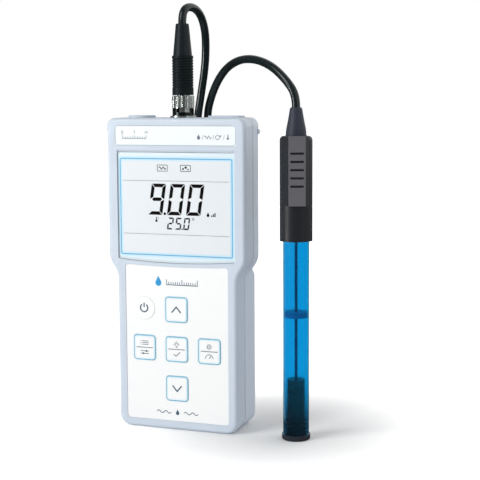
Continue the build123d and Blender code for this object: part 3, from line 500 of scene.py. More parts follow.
def glass(name, tint, rough, ior=1.49):
    """Clear coloured plastic."""
    material, tree, shader = new_material(name)
    shader.inputs["Base Color"].default_value = (*tint, 1.0)
    shader.inputs["Roughness"].default_value = rough
    shader.inputs["IOR"].default_value = ior
    shader.inputs["Transmission Weight"].default_value = 1.0
    return material


def ink(name, tint, rough=0.45):
    """Printed ink with a faint uneven edge of tone."""
    return surface(name, tint, shade=0.86, rough=(rough, rough + 0.1), grain=0.25, relief=0.002, mottle=2.0)


class METER_OT_case(Operator):
    """Finishes the case halves, their seal and screws, the strip, the stand and the battery door"""

    bl_idname = "meter.case"
    bl_label = "Case"

    def execute(self, context):
        tints = context.scene.meter_finishes
        shell = surface("case plastic", tints.case, shade=0.97, rough=(0.38, 0.46), grain=0.35,
                        relief=0.006)
        back = surface("case back plastic", tints.case_back, shade=0.96, rough=(0.42, 0.5), grain=0.35,
                       relief=0.008)
        textured = surface("door plastic", tints.case_back, shade=0.94, rough=(0.48, 0.58), grain=0.5,
                           relief=0.03)
        steel = surface("screw steel", srgb(190, 190, 188), shade=0.85, rough=(0.25, 0.4), grain=0.3,
                        relief=0.004, mottle=3.0, sockets={"Metallic": 1.0})
        seal = surface("case seal", tints.seal, rough=(0.6, 0.7), grain=0.3, relief=0.01)
        white = surface("strip white", tints.strip, shade=0.985, rough=(0.3, 0.36), grain=0.5, relief=0.002)
        dress(shell, "front_shell")
        dress(back, "rear_shell")
        dress(textured, "battery_door", "stand", "rating_label")
        dress(seal, "case_gasket", "door_gasket")
        dress(surface("pin plastic", tints.case_back, rough=(0.3, 0.4), grain=0.3, relief=0.004), "stand_pin")
        dress(steel, "case_screws", "door_screws")
        dress(white, "head_strip")
        return {"FINISHED"}


class METER_OT_display(Operator):
    """Makes the printed film on the window and the dark digits, dividers and badges on it"""

    bl_idname = "meter.display"
    bl_label = "Display"

    def execute(self, context):
        sizes = context.scene.meter_display
        tints = context.scene.meter_finishes
        film_front = window_low.y - sizes.film_thick
        half = window_high.x - sizes.film_margin
        across = np.linspace(-half, half, 33)
        low = window_low.z + sizes.film_margin + sizes.film_bow * (across / half) ** 2
        upper = [(half, window_high.z - sizes.film_margin), (-half, window_high.z - sizes.film_margin)]
        outline = np.concatenate([np.stack([across, low], 1), upper])
        film = assemble("window_film", [patch(outline, film_front, sizes.film_thick)])
        new_object("window_film", film, "meter", film_material(sizes, tints))
        dress(glass("window plastic", srgb(240, 248, 250), 0.03), "display_window")
        dress(surface("display glass", tints.screen, rough=(0.1, 0.14), grain=2.0, relief=0.001), "lcd_panel")
        dress(surface("light guide", srgb(238, 240, 238), rough=(0.4, 0.5)), "backlight")
        dark = self.digits(sizes, film_front - 0.02 * MM)
        new_object("display_digits", assemble("display_digits", dark), "meter",
                   surface("display dark", tints.digits, shade=0.8, rough=(0.3, 0.36), mottle=3.0,
                           sockets={"Specular IOR Level": 0.1}))
        grey = self.dividers(sizes, film_front - 0.01 * MM)
        new_object("display_dividers", assemble("display_dividers", grey), "meter",
                   ink("display grey", srgb(140, 140, 142)))
        return {"FINISHED"}

    def dividers(self, sizes, front):
        """Two thin lines across the display."""
        reach = sizes.divider_half
        return [band([(-reach, z), (reach, z)], sizes.divider_width, front, 0.03 * MM)
                for z in (sizes.divider_upper, sizes.divider_lower)]

    def digits(self, sizes, front):
        """Large and small digits with their points, two badges and small pictograms."""
        thick = 0.04 * MM
        parts = []
        for index, digit in enumerate("900"):
            left = sizes.digit_left + index * sizes.digit_pitch
            parts += [patch(bar, front, thick) for bar in digit_bars(
                digit, left, sizes.digit_low, sizes.digit_width, sizes.digit_height,
                sizes.digit_bar, sizes.digit_gap, sizes.slant)]
        for index, digit in enumerate("250"):
            left = sizes.small_left + index * sizes.small_pitch
            parts += [patch(bar, front, thick) for bar in digit_bars(
                digit, left, sizes.small_low, sizes.small_width, sizes.small_height,
                sizes.small_bar, sizes.digit_gap * 0.55, sizes.slant)]
        point_x = sizes.digit_left + sizes.digit_pitch - 1.35 * MM
        parts.append(patch(disc(point_x, sizes.digit_low + 0.8 * MM, 0.85 * MM), front, thick))
        small_x = sizes.small_left + 2 * sizes.small_pitch - 0.6 * MM
        parts.append(patch(disc(small_x, sizes.small_low + 0.45 * MM, 0.45 * MM), front, thick))
        parts.append(band(disc(11.6 * MM, 133.8 * MM, 0.62 * MM), 0.3 * MM, front, thick, closed=True))
        parts += self.thermometer(-13.0 * MM, 133.1 * MM, front, thick)
        parts.append(patch(drop(21.4 * MM, 136.9 * MM, 2.9 * MM), front, thick))
        column_low = 135.6 * MM
        column = 0.7 * MM
        parts += [patch([(x, column_low), (x + column, column_low), (x + column, top), (x, top)], front, thick)
                  for x, top in ((23.4 * MM, 136.5 * MM), (24.5 * MM, 137.3 * MM), (25.6 * MM, 138.1 * MM))]
        badge_z = 165.0 * MM
        wave_x = -8.6 * MM
        for x in (wave_x, 6.8 * MM):
            badge = rounded(x, badge_z, 6.6 * MM, 3.8 * MM, 0.3 * MM)
            parts.append(band(badge, 0.35 * MM, front, thick, closed=True))
        parts.append(band(wave(wave_x, badge_z, 4.8 * MM, 1.5 * MM), 0.5 * MM, front, thick))
        for x, z, radius in ((5.2, 164.6, 0.62), (7.0, 165.5, 0.75), (8.5, 164.3, 0.5)):
            parts.append(patch(disc(x * MM, z * MM, radius * MM), front, thick))
        return parts

    def thermometer(self, x, z, front, thick):
        """A bulb, a stem and two ticks."""
        stem = band([(x, z - 0.4 * MM), (x, z + 1.5 * MM)], 0.55 * MM, front, thick)
        bulb = patch(disc(x, z - 0.9 * MM, 0.75 * MM), front, thick)
        ticks = [band([(x + 0.8 * MM, z + up), (x + 1.6 * MM, z + up)], 0.25 * MM, front, thick)
                 for up in (0.3 * MM, 1.2 * MM)]
        return [stem, bulb, *ticks]


class METER_OT_keypad(Operator):
    """Finishes the label and the keys, and prints their outlines and pictograms and the strip's scale"""

    bl_idname = "meter.keypad"
    bl_label = "Keypad"

    def execute(self, context):
        sizes = context.scene.meter_print
        tints = context.scene.meter_finishes
        label = surface("label film", tints.label, shade=0.99, rough=(0.34, 0.42), grain=0.3, relief=0.003)
        dress(label, "keypad_overlay", "key_power")
        for key in KEYS[1:]:
            dress(self.key_film(key, sizes, tints), key)
        dress(surface("dome rubber", srgb(170, 174, 178), rough=(0.6, 0.7)), "dome_mat")
        self.blue = ink("key blue", tints.key_blue, 0.4)
        self.dark = ink("pictogram ink", tints.ink_blue, 0.4)
        self.grey = ink("divider ink", tints.ink_grey, 0.4)
        self.keys(sizes)
        self.seals(sizes)
        self.strip(sizes, tints)
        self.label_marks(sizes, tints)
        return {"FINISHED"}

    def key_film(self, key, sizes, tints):
        """White film with a pale blue glow that fades from the key's outline inward."""
        material = surface("film " + key, tints.label, shade=0.99, rough=(0.34, 0.42), grain=0.3, relief=0.003)
        tree = material.node_tree
        middle_x, middle_z, _ = self.centre(key)
        x, _, z = coordinates(tree)
        edges = []
        for along, middle, size in ((x, middle_x, sizes.key_width), (z, middle_z, sizes.key_height)):
            away = calc(tree, "ABSOLUTE", calc(tree, "SUBTRACT", along, middle))
            edges.append(calc(tree, "SUBTRACT", size / 2, away))
        glow = ramp(tree, calc(tree, "MINIMUM", *edges), 0.0, sizes.key_glow, 0.75, 0.0)
        tint_over(material, glow, tints.key_glow)
        return material

    def centre(self, key):
        """Middle of a key and the depth of its face."""
        low, high = key_boxes[key]
        return (low.x + high.x) / 2, (low.z + high.z) / 2, low.y

    def mark(self, name, parts, body, material, slot="key_white"):
        """One printed piece."""
        return new_object(name, assemble(name, parts), body, material)

    def keys(self, sizes):
        """Outline, divider and pictogram of each key, riding on it."""
        draw = {
            "key_power": self.power, "key_up": self.chevron_up, "key_mode": self.list_and_sliders,
            "key_enter": self.bulb_and_tick, "key_cal": self.target_and_gauge, "key_down": self.chevron_down,
        }
        inset = sizes.outline_width / 2
        for key, drawing in draw.items():
            x, z, face = self.centre(key)
            front = face - sizes.ink
            if key != "key_power":
                outline = rounded(x, z, sizes.key_width - 2 * inset, sizes.key_height - 2 * inset,
                                  sizes.key_corner - inset)
                line = band(outline, sizes.outline_width, front, sizes.ink, closed=True)
                self.mark(key + "_outline", [line], key, self.blue)
            self.mark(key + "_sign", drawing(x, z, front, sizes), key, self.dark)
            if key in ("key_mode", "key_enter", "key_cal"):
                divider = band([(x - 5.6 * MM, z), (x + 5.6 * MM, z)], 0.5 * MM, front, sizes.ink)
                self.mark(key + "_divider", [divider], key, self.grey)

    def seals(self, sizes):
        """Soft rings that close the gaps round the keys, flush with the label."""
        blue = []
        white = []
        front = overlay_low.y - 0.01 * MM
        for key in KEYS:
            x, z, face = self.centre(key)
            if key == "key_power":
                ring = disc(x, z, sizes.power_radius + 0.15 * MM, 48)
                white.append(band(ring, sizes.seal_width, front, 0.5 * MM, closed=True))
            else:
                ring = rounded(x, z, sizes.key_width + 0.3 * MM, sizes.key_height + 0.3 * MM, sizes.key_corner)
                blue.append(band(ring, sizes.seal_width, front, 0.5 * MM, closed=True))
        self.mark("key_seals", blue, "meter", self.blue, "overlay_white")
        soft = surface("power seal", srgb(244, 248, 250), shade=0.98)
        self.mark("power_seal", white, "meter", soft, "overlay_white")

    def power(self, x, z, front, sizes):
        """An open ring with a bar through its gap."""
        ring = band(arc(x, z + 0.2 * MM, 2.5 * MM, 125, 415, 40), sizes.bold_line, front, sizes.ink)
        bar = band([(x, z + 0.6 * MM), (x, z + 3.4 * MM)], sizes.bold_line, front, sizes.ink)
        return [ring, bar]

    def chevron_up(self, x, z, front, sizes):
        """A chevron that points up."""
        points = [(x - 3.1 * MM, z - 1.9 * MM), (x, z + 1.7 * MM), (x + 3.1 * MM, z - 1.9 * MM)]
        return [band(points, sizes.bold_line, front, sizes.ink)]

    def chevron_down(self, x, z, front, sizes):
        """A chevron that points down."""
        points = [(x - 3.1 * MM, z + 1.9 * MM), (x, z - 1.7 * MM), (x + 3.1 * MM, z + 1.9 * MM)]
        return [band(points, sizes.bold_line, front, sizes.ink)]

    def list_and_sliders(self, x, z, front, sizes):
        """Three list lines above, two sliders below."""
        parts = []
        for step in (-1, 0, 1):
            row = z + 3.0 * MM + step * 1.1 * MM
            parts.append(band([(x - 1.7 * MM, row), (x + 2.6 * MM, row)], sizes.icon_line, front, sizes.ink))
            parts.append(patch(disc(x - 2.6 * MM, row, 0.28 * MM), front, sizes.ink))
        for row, knob in ((-2.3, 1.2), (-3.9, -1.0)):
            line = [(x - 2.8 * MM, z + row * MM), (x + 2.8 * MM, z + row * MM)]
            parts.append(band(line, sizes.icon_line, front, sizes.ink))
            parts.append(patch(disc(x + knob * MM, z + row * MM, 0.62 * MM), front, sizes.ink))
        return parts

    def bulb_and_tick(self, x, z, front, sizes):
        """A lamp bulb with rays above, a tick below."""
        bulb_z = z + 3.1 * MM
        parts = [band(arc(x, bulb_z, 1.0 * MM, -50, 230, 24), sizes.icon_line, front, sizes.ink)]
        parts.append(patch(rounded(x, bulb_z - 1.5 * MM, 0.9 * MM, 0.8 * MM, 0.1 * MM, 3), front, sizes.ink))
        for angle in (0, 45, 90, 135, 180):
            direction = np.array([math.cos(math.radians(angle)), math.sin(math.radians(angle))])
            ray = [np.array([x, bulb_z]) + direction * 1.6 * MM, np.array([x, bulb_z]) + direction * 2.3 * MM]
            parts.append(band(ray, 0.28 * MM, front, sizes.ink))
        tick = [(x - 2.0 * MM, z - 3.0 * MM), (x - 0.5 * MM, z - 4.4 * MM), (x + 2.3 * MM, z - 1.7 * MM)]
        parts.append(band(tick, sizes.icon_line * 1.2, front, sizes.ink))
        return parts

    def target_and_gauge(self, x, z, front, sizes):
        """A ring with a dot above, a half-round gauge with its hand below."""
        parts = [band(disc(x, z + 3.0 * MM, 1.35 * MM, 28), sizes.icon_line, front, sizes.ink, closed=True)]
        parts.append(patch(disc(x, z + 3.0 * MM, 0.45 * MM), front, sizes.ink))
        low = z - 4.4 * MM
        parts.append(band(arc(x, low, 2.5 * MM, 0, 180, 24), sizes.icon_line, front, sizes.ink))
        parts.append(band([(x, low), (x + 1.2 * MM, low + 1.6 * MM)], sizes.icon_line, front, sizes.ink))
        return parts

    def strip(self, sizes, tints):
        """A plain graduated scale at the strip's left and four small pictograms at its right."""
        front = strip_low.y - sizes.ink
        foot = 183.0 * MM
        parts = self.ruler(-35.0 * MM, foot, 1.15 * MM, (1.3 * MM, 2.3 * MM), (0.3 * MM, 0.3 * MM),
                           0.15 * MM, front, sizes)
        # Painted shadow: a grey line round the strip stands in for the shade along the strip's edge.
        self.mark("strip_edge_shadow", [self.seam(strip_low, strip_high, sizes)], "meter",
                  surface("seam shade", tints.seam, shade=0.9), "strip_white")
        number_low = 185.9 * MM
        for number, x in (("0", -35.6), ("7", -27.6), ("14", -20.6)):
            for place, digit in enumerate(number):
                left = (x + place * 1.5) * MM
                bars = digit_bars(digit, left, number_low, 1.15 * MM, 2.0 * MM, 0.34 * MM, 0.03 * MM, 0.0)
                parts += [patch(bar, front, sizes.ink) for bar in bars]
        parts.append(patch(drop(16.0 * MM, 184.3 * MM, 3.2 * MM), front, sizes.ink))
        parts.append(band(wave(22.0 * MM, 184.1 * MM, 4.6 * MM, 1.7 * MM), 0.38 * MM, front, sizes.ink))
        parts.append(band(disc(28.3 * MM, 184.1 * MM, 1.3 * MM), 0.36 * MM, front, sizes.ink, closed=True))
        parts.append(patch(disc(30.3 * MM, 184.9 * MM, 0.5 * MM), front, sizes.ink))
        parts.append(band([(35.0 * MM, 184.0 * MM), (35.0 * MM, 185.9 * MM)], 0.5 * MM, front, sizes.ink))
        parts.append(patch(disc(35.0 * MM, 183.4 * MM, 0.72 * MM), front, sizes.ink))
        for x in (18.8, 25.6, 32.4):
            slash = [((x - 0.3) * MM, 182.8 * MM), ((x + 0.3) * MM, 185.7 * MM)]
            parts.append(band(slash, 0.22 * MM, front, sizes.ink))
        self.mark("strip_scale", parts, "meter", ink("strip ink", tints.ink_grey, 0.4), "strip_white")

    def ruler(self, left, foot, pitch, heights, widths, past, front, sizes):
        """A base line with fifteen ticks, every seventh one tall; the line runs a little past both ends."""
        count = 15
        low, high = heights
        tick_width, line_width = widths
        line = [(left - past, foot), (left + (count - 1) * pitch + past, foot)]
        parts = [band(line, line_width, front, sizes.ink)]
        for index in range(count):
            x = left + index * pitch
            top = foot + (high if index % 7 == 0 else low)
            parts.append(band([(x, foot), (x, top)], tick_width, front, sizes.ink))
        return parts

    def seam(self, low, high, sizes):
        """A thin grey line along the edge of a plate, just inside it, painted as the plate's edge shadow."""
        middle = (low + high) / 2
        inset = sizes.edge_shadow_width / 2
        outline = rounded(middle.x, middle.z, high.x - low.x - 2 * inset, high.z - low.z - 2 * inset,
                          sizes.edge_shadow_corner)
        return band(outline, sizes.edge_shadow_width, low.y - sizes.ink / 2, sizes.ink, closed=True)

    def label_marks(self, sizes, tints):
        """A bright drop beside a plain ruler near the label's top, and waves with a drop near its foot."""
        front = overlay_low.y - sizes.ink
        accent = ink("accent ink", tints.accent, 0.4)
        self.mark("label_drop", [patch(drop(-12.0 * MM, 94.6 * MM, 6.4 * MM), front, sizes.ink)],
                  "meter", accent, "overlay_white")
        ruler = self.ruler(-6.4 * MM, 92.4 * MM, 1.47 * MM, (1.9 * MM, 3.4 * MM), (0.42 * MM, 0.5 * MM),
                           0.2 * MM, front, sizes)
        self.mark("label_ruler", ruler, "meter", self.dark, "overlay_white")
        foot = [band(wave(x * MM, 11.2 * MM, 9.6 * MM, 1.5 * MM), 0.5 * MM, front, sizes.ink)
                for x in (-9.2, 9.0)]
        foot.append(patch(drop(0.0, 11.4 * MM, 3.6 * MM), front, sizes.ink))
        self.mark("label_foot", foot, "meter", self.dark, "overlay_white")


class METER_OT_sockets(Operator):
    """Finishes the bayonet socket, the covered sockets and the pieces inside the case"""

    bl_idname = "meter.sockets"
    bl_label = "Sockets and inner pieces"

    def execute(self, context):
        tints = context.scene.meter_finishes
        nickel = surface("nickel", tints.nickel, shade=0.8, rough=(0.18, 0.3), grain=0.2, relief=0.003,
                         mottle=3.0, stretch=(1.0, 1.0, 8.0), sockets={"Metallic": 1.0})
        gold = surface("contact gold", srgb(226, 186, 96), shade=0.85, rough=(0.2, 0.3), mottle=2.0,
                       sockets={"Metallic": 1.0})
        dress(nickel, "bnc_jack", "jack_nut", "plug_body")
        dress(gold, "jack_contact", "plug_pin")
        dress(surface("insulator", srgb(232, 232, 226), rough=(0.4, 0.5)), "jack_insulator", "plug_insulator")
        dress(surface("socket black", srgb(38, 40, 44), rough=(0.5, 0.6)), "temp_socket", "port_socket")
        dress(surface("socket cover", tints.case, shade=0.95, rough=(0.5, 0.6), grain=0.3, relief=0.01),
              "temp_cap", "port_cover")
        dress(surface("board green", srgb(28, 96, 62), shade=0.8, rough=(0.35, 0.5), mottle=6.0), "main_board")
        dress(surface("chip black", srgb(30, 31, 34), shade=0.8, rough=(0.5, 0.6), mottle=4.0), "board_chips")
        dress(surface("can tin", srgb(186, 186, 182), shade=0.85, rough=(0.3, 0.4), mottle=4.0,
                      sockets={"Metallic": 1.0}), "board_cans")
        dress(surface("cell wrap", srgb(70, 78, 88), shade=0.8, rough=(0.25, 0.35), mottle=8.0,
                      sockets={"Metallic": 0.6}), "battery_cells")
        dress(surface("contact steel", srgb(200, 198, 190), shade=0.85, rough=(0.25, 0.4), mottle=3.0,
                      sockets={"Metallic": 1.0}), "battery_contacts")
        return {"FINISHED"}


class METER_OT_plug(Operator):
    """Finishes the knurled bayonet ring, the ribbed grip and the boot of the plug"""

    bl_idname = "meter.plug"
    bl_label = "Plug"

    def execute(self, context):
        tints = context.scene.meter_finishes
        dress(self.ring(tints), "coupling_ring")
        dress(surface("grip plastic", tints.grip, rough=(0.42, 0.55), grain=0.25, relief=0.01,
                      sockets={"Specular IOR Level": 0.15}), "plug_grip")
        dress(surface("boot rubber", tints.boot, rough=(0.35, 0.45), grain=0.3, relief=0.008,
                      sockets={"Specular IOR Level": 0.2}), "plug_boot")
        return {"FINISHED"}

    def ring(self, tints):
        """Nickel whose skirt below the flutes is painted nearly black as painted shade of the dark
        surroundings it reflects.
        """
        material = surface("ring nickel", tints.nickel, shade=0.9, rough=(0.2, 0.3), grain=0.15, relief=0.004,
                           mottle=1.5, stretch=(1.0, 1.0, 0.2), sockets={"Metallic": 1.0})
        tree = material.node_tree
        _, _, z = coordinates(tree)
        # Painted shade: the skirt below the flutes is darkened in place of the dark surroundings it reflects.
        skirt_high = ring_low.z + 4.7 * MM
        skirt = ramp(tree, z, skirt_high - 0.3 * MM, skirt_high + 0.1 * MM, 1.0, 0.0)
        tint_over(material, skirt, tints.skirt_shade)
        return material


class METER_OT_lead(Operator):
    """Makes the lead as one smooth spline from the electrode's boot through the coil to the plug's boot"""

    bl_idname = "meter.lead"
    bl_label = "Lead"

    def execute(self, context):
        sizes = context.scene.meter_lead
        tints = context.scene.meter_finishes
        jacket = surface("lead jacket", tints.cord, shade=0.85, rough=(0.2, 0.28), grain=0.5, relief=0.003,
                         mottle=12.0, sockets={"Specular IOR Level": 0.4})
        points = np.concatenate([self.from_electrode(), self.coil(sizes)[::-1], self.to_plug()])
        curve = bpy.data.curves.new("lead", "CURVE")
        curve.dimensions = "3D"
        curve.bevel_depth = sizes.diameter / 2
        curve.bevel_resolution = 5
        curve.resolution_u = 10
        spline = curve.splines.new("NURBS")
        spline.points.add(len(points) - 1)
        spline.points.foreach_set("co", np.insert(points, 3, 1.0, axis=1).ravel())
        spline.order_u = 3
        spline.use_endpoint_u = True
        lead = bpy.data.objects.new("lead", curve)
        bpy.context.scene.collection.objects.link(lead)
        curve.materials.append(jacket)
        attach(lead, "lead")
        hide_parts("cord_from_plug", "cord_coil", "cord_to_probe")
        return {"FINISHED"}

    def from_electrode(self):
        """The strand from the electrode's boot, over the case's corner and down behind it."""
        x = (probe_boot_low.x + probe_boot_high.x) / 2
        y = (probe_boot_low.y + probe_boot_high.y) / 2
        return np.array([
            (x / MM, y / MM, probe_boot_high.z / MM),
            (x / MM, y / MM, 209.2),
            (69.4, -9.4, 218.0),
            (58.0, -3.2, 227.0),
            (43.0, 7.6, 231.8),
            (28.0, 19.0, 231.4),
            (15.2, 28.6, 225.2),
            (5.2, 35.6, 213.0),
            (-1.2, 39.5, 196.5),
            (-0.8, 45.0, 178.0),
            (3.0, 53.5, 156.0),
            (8.0, 58.0, 128.0),
            (11.5, 54.5, 96.0),
            (12.5, 49.0, 62.0),
            (9.5, 44.5, 34.0),
            (2.5, 43.2, 19.0),
            (-9.0, 43.6, 13.4),
            (-20.0, 44.2, 11.9),
        ]) * MM

    def coil(self, sizes):
        """The turns on the floor: a helix that rises by a lead's thickness in each turn."""
        turns = 1.717
        start = math.radians(12)
        angle = start + np.linspace(0, 1, int(turns * sizes.turn_points) + 1) * turns * 2 * np.pi
        x = (coil_low.x + coil_high.x) / 2
        y = (coil_low.y + coil_high.y) / 2
        low = sizes.diameter / 2 + 0.05 * MM
        rise = (angle - start) / (2 * np.pi) * sizes.diameter * 1.04
        radius = sizes.coil_radius
        return np.stack([x + radius * np.cos(angle), y + radius * np.sin(angle), low + rise], 1)

    def to_plug(self):
        """The strand up behind the case and over the plug's boot."""
        x = (plug_boot_low.x + plug_boot_high.x) / 2
        y = (plug_boot_low.y + plug_boot_high.y) / 2
        return np.array([
            (-1.0, 72.2, 2.65),
            (-1.0, 63.1, 2.7),
            (-0.9, 55.0, 7.3),
            (-0.8, 50.4, 15.4),
            (-0.6, 50.2, 26.0),
            (-1.5, 52.0, 42.0),
            (-5.5, 56.0, 72.0),
            (-11.0, 57.5, 107.0),
            (-12.5, 51.5, 142.0),
            (-9.5, 41.0, 170.0),
            (-5.4, 33.5, 193.0),
            (-1.6, 31.8, 211.0),
            (1.6, 31.0, 228.0),
            (3.0, 29.2, 243.0),
            (3.6, 25.5, 252.6),
            (3.6, 18.5, 260.4),
            (2.8, 9.5, 264.0),
            (1.3, 1.2, 263.8),
            (x / MM, y / MM, 259.4),
            (x / MM, y / MM, plug_boot_high.z / MM),
        ]) * MM


class METER_OT_electrode(Operator):
    """Finishes the electrode: boot, cap, clear blue tube, stem, spacer, module and foot"""

    bl_idname = "meter.electrode"
    bl_label = "Electrode"

    def execute(self, context):
        tints = context.scene.meter_finishes
        dress(surface("electrode boot rubber", tints.probe_boot, rough=(0.45, 0.55), grain=0.3, relief=0.01,
                      sockets={"Specular IOR Level": 0.3}), "probe_boot")
        dress(self.cap(tints), "probe_cap")
        dress(glass("tube plastic", tints.tube, 0.02), "probe_tube")
        dress(surface("stem plastic", tints.stem, rough=(0.25, 0.35)), "inner_stem")
        dress(surface("spacer plastic", srgb(20, 140, 190), rough=(0.25, 0.35)), "spacer_ring")
        dress(surface("module plastic", tints.module, rough=(0.25, 0.4), grain=0.3, relief=0.006),
              "sensor_module")
        dress(surface("foot plastic", srgb(44, 50, 58), rough=(0.15, 0.25)), "end_flange")
        dress(surface("membrane", srgb(176, 178, 184), rough=(0.15, 0.25)), "membrane")
        return {"FINISHED"}

    def cap(self, tints):
        """Black plastic whose thumb pad is painted lighter grey as a painted highlight: the pad is what lies
        far out along its direction.
        """
        material = surface("cap plastic", tints.cap, shade=0.9, rough=(0.32, 0.42), grain=0.35, relief=0.01,
                           sockets={"Specular IOR Level": 0.3})
        tree = material.node_tree
        x, y, z = coordinates(tree)
        pad_turn = math.radians(20.5)
        pad_low = 143.7 * MM
        axis = (probe_boot_low + probe_boot_high) / 2
        away_x = calc(tree, "MULTIPLY", calc(tree, "SUBTRACT", x, axis.x), math.sin(pad_turn))
        away_y = calc(tree, "MULTIPLY", calc(tree, "SUBTRACT", y, axis.y), -math.cos(pad_turn))
        out = ramp(tree, calc(tree, "ADD", away_x, away_y), 9.95 * MM, 10.3 * MM)
        high = ramp(tree, z, pad_low - 0.2 * MM, pad_low + 0.2 * MM)
        # Painted highlight: the pad's face is tinted grey in place of the front light's reflection.
        tint_over(material, calc(tree, "MULTIPLY", out, high), tints.pad)
        return material


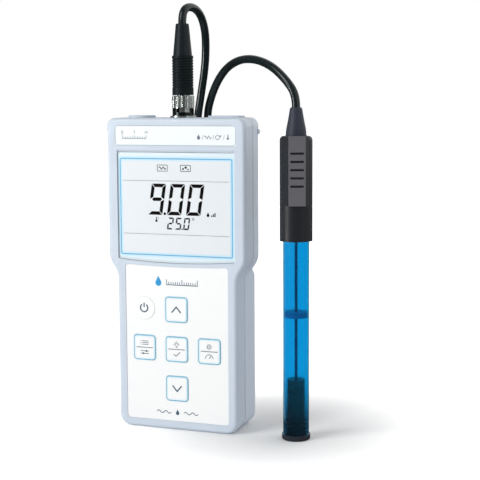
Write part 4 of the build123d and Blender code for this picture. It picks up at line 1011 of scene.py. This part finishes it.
class METER_OT_stage(Operator):
    """Makes the floor, the world, the lamps and the camera"""

    bl_idname = "meter.stage"
    bl_label = "Stage"

    def execute(self, context):
        settings = context.scene.meter_stage
        self.floor(context.scene.meter_finishes.floor, settings)
        self.world(context.scene, settings)
        for name, place, size, power in (
            ("key_lamp", (-1.0, -1.25, 1.15), (0.9, 1.1), settings.key_power),
            ("low_lamp", (-0.85, -0.8, 0.14), (0.3, 0.2), settings.low_power),
            ("strip_lamp", (0.95, -0.55, 0.45), (0.12, 1.2), settings.strip_power),
        ):
            self.lamp(name, place, size, power)
        self.camera(context.scene, settings)
        context.scene.view_settings.view_transform = "Standard"
        return {"FINISHED"}

    def floor(self, tint, settings):
        """A wide plain floor: it keeps the shadow, glows with the distance and stays dim in reflections; with
        no glow beside the meter's right foot, the floor there is left darker as painted shadow.
        """
        half = 6.0
        mesh = bpy.data.meshes.new("floor")
        corners = [(-half, -half, 0), (half, -half, 0), (half, half, 0), (-half, half, 0)]
        mesh.from_pydata(corners, [], [(0, 1, 2, 3)])
        material, tree, shader = new_material("floor white")
        shader.inputs["Roughness"].default_value = 0.9
        shader.inputs["Specular IOR Level"].default_value = 0.0
        shader.inputs["Emission Color"].default_value = (1.0, 1.0, 1.0, 1.0)
        rays = tree.nodes.new("ShaderNodeLightPath")
        dim = tuple(value * settings.gloss for value in tint)
        tree.links.new(blend(tree, rays.outputs["Is Glossy Ray"], tint, dim), shader.inputs["Base Color"])
        place = tree.nodes.new("ShaderNodeTexCoord")
        reach = tree.nodes.new("ShaderNodeVectorMath")
        reach.operation = "DISTANCE"
        tree.links.new(place.outputs["Object"], reach.inputs[0])
        # Painted shadow: the glow is held back round a point beside the meter's right foot; the real lamp
        # shadow there stays, and the missing glow makes it darker against the white further out.
        reach.inputs[1].default_value = (0.055, 0.0, 0.0)
        glow = ramp(tree, reach.outputs["Value"], 0.01, 0.18, settings.near_glow, settings.far_glow)
        seen = calc(tree, "MAXIMUM", rays.outputs["Is Camera Ray"], rays.outputs["Is Transmission Ray"])
        tree.links.new(calc(tree, "MULTIPLY", seen, glow), shader.inputs["Emission Strength"])
        mesh.materials.append(material)
        floor = bpy.data.objects.new("floor", mesh)
        bpy.context.scene.collection.objects.link(floor)

    def world(self, scene, settings):
        """White where the camera or glass sees it; as a light it is brightest behind and at the right."""
        world = bpy.data.worlds.new("studio")
        world.use_nodes = True
        tree = world.node_tree
        ground = tree.nodes["Background"]
        ground.inputs["Color"].default_value = (1.0, 1.0, 1.0, 1.0)
        rays = tree.nodes.new("ShaderNodeLightPath")
        seen = calc(tree, "MAXIMUM", rays.outputs["Is Camera Ray"], rays.outputs["Is Transmission Ray"])
        place = tree.nodes.new("ShaderNodeTexCoord")
        turned = tree.nodes.new("ShaderNodeVectorMath")
        turned.operation = "DOT_PRODUCT"
        tree.links.new(place.outputs["Generated"], turned.inputs[0])
        turned.inputs[1].default_value = (0.7, 0.71, 0.0)
        light = ramp(tree, turned.outputs["Value"], -0.3, 0.9, settings.ambient, settings.backdrop)
        strength = tree.nodes.new("ShaderNodeMix")
        tree.links.new(seen, strength.inputs[0])
        tree.links.new(light, strength.inputs[2])
        strength.inputs[3].default_value = 1.0
        tree.links.new(strength.outputs[0], ground.inputs["Strength"])
        scene.world = world

    def lamp(self, name, place, size, power):
        """A rectangular lamp that faces the meter's middle."""
        light = bpy.data.lights.new(name, "AREA")
        light.shape = "RECTANGLE"
        light.size, light.size_y = size
        light.energy = power
        lamp = bpy.data.objects.new(name, light)
        lamp.location = place
        target = Vector((0.02, 0.0, 0.1))
        lamp.rotation_mode = "QUATERNION"
        lamp.rotation_quaternion = (target - Vector(place)).to_track_quat("-Z", "Y")
        bpy.context.scene.collection.objects.link(lamp)

    def camera(self, scene, settings):
        """The photograph's viewpoint: yaw about the vertical, then pitch down, then roll."""
        forward = Vector((-math.sin(settings.yaw) * math.cos(settings.pitch),
                          math.cos(settings.yaw) * math.cos(settings.pitch), -math.sin(settings.pitch)))
        level = Vector((math.cos(settings.yaw), math.sin(settings.yaw), 0.0))
        right = level * math.cos(settings.roll) + level.cross(forward) * math.sin(settings.roll)
        upward = right.cross(forward)
        data = bpy.data.cameras.new("camera")
        data.sensor_width = 36.0
        data.lens = settings.lens
        camera = bpy.data.objects.new("camera", data)
        turned = Matrix((right, upward, -forward)).transposed()
        camera.matrix_world = Matrix.Translation(settings.place) @ turned.to_4x4()
        scene.collection.objects.link(camera)
        scene.camera = camera


class METER_PT_looks(Panel):
    """Buttons and settings of the meter's looks"""

    bl_label = "Ion meter"
    bl_space_type = "VIEW_3D"
    bl_region_type = "UI"
    bl_category = "Ion meter"

    def draw(self, context):
        for operator in OPERATORS:
            self.layout.operator(operator.bl_idname)
        for name in GROUPS:
            settings = getattr(context.scene, name)
            box = self.layout.box()
            for setting in settings.__annotations__:
                box.prop(settings, setting)


OPERATORS = (METER_OT_case, METER_OT_display, METER_OT_keypad, METER_OT_sockets, METER_OT_plug,
             METER_OT_lead, METER_OT_electrode, METER_OT_stage)
GROUPS = {
    "meter_display": DisplaySizes,
    "meter_print": PrintSizes,
    "meter_lead": LeadSizes,
    "meter_finishes": Finishes,
    "meter_stage": StageSettings,
}


def register():
    """Registers the settings, the operators and the panel."""
    for name, group in GROUPS.items():
        bpy.utils.register_class(group)
        setattr(bpy.types.Scene, name, PointerProperty(type=group))
    for member in (*OPERATORS, METER_PT_looks):
        bpy.utils.register_class(member)


def unregister():
    """Takes everything out again, in reverse."""
    for member in (METER_PT_looks, *reversed(OPERATORS)):
        bpy.utils.unregister_class(member)
    for name, group in reversed(GROUPS.items()):
        delattr(bpy.types.Scene, name)
        bpy.utils.unregister_class(group)


def main():
    """Registers the add-on and runs its operators in order."""
    register()
    for operator in OPERATORS:
        category, action = operator.bl_idname.split(".")
        getattr(getattr(bpy.ops, category), action)()


if __name__ == "__main__":
    main()
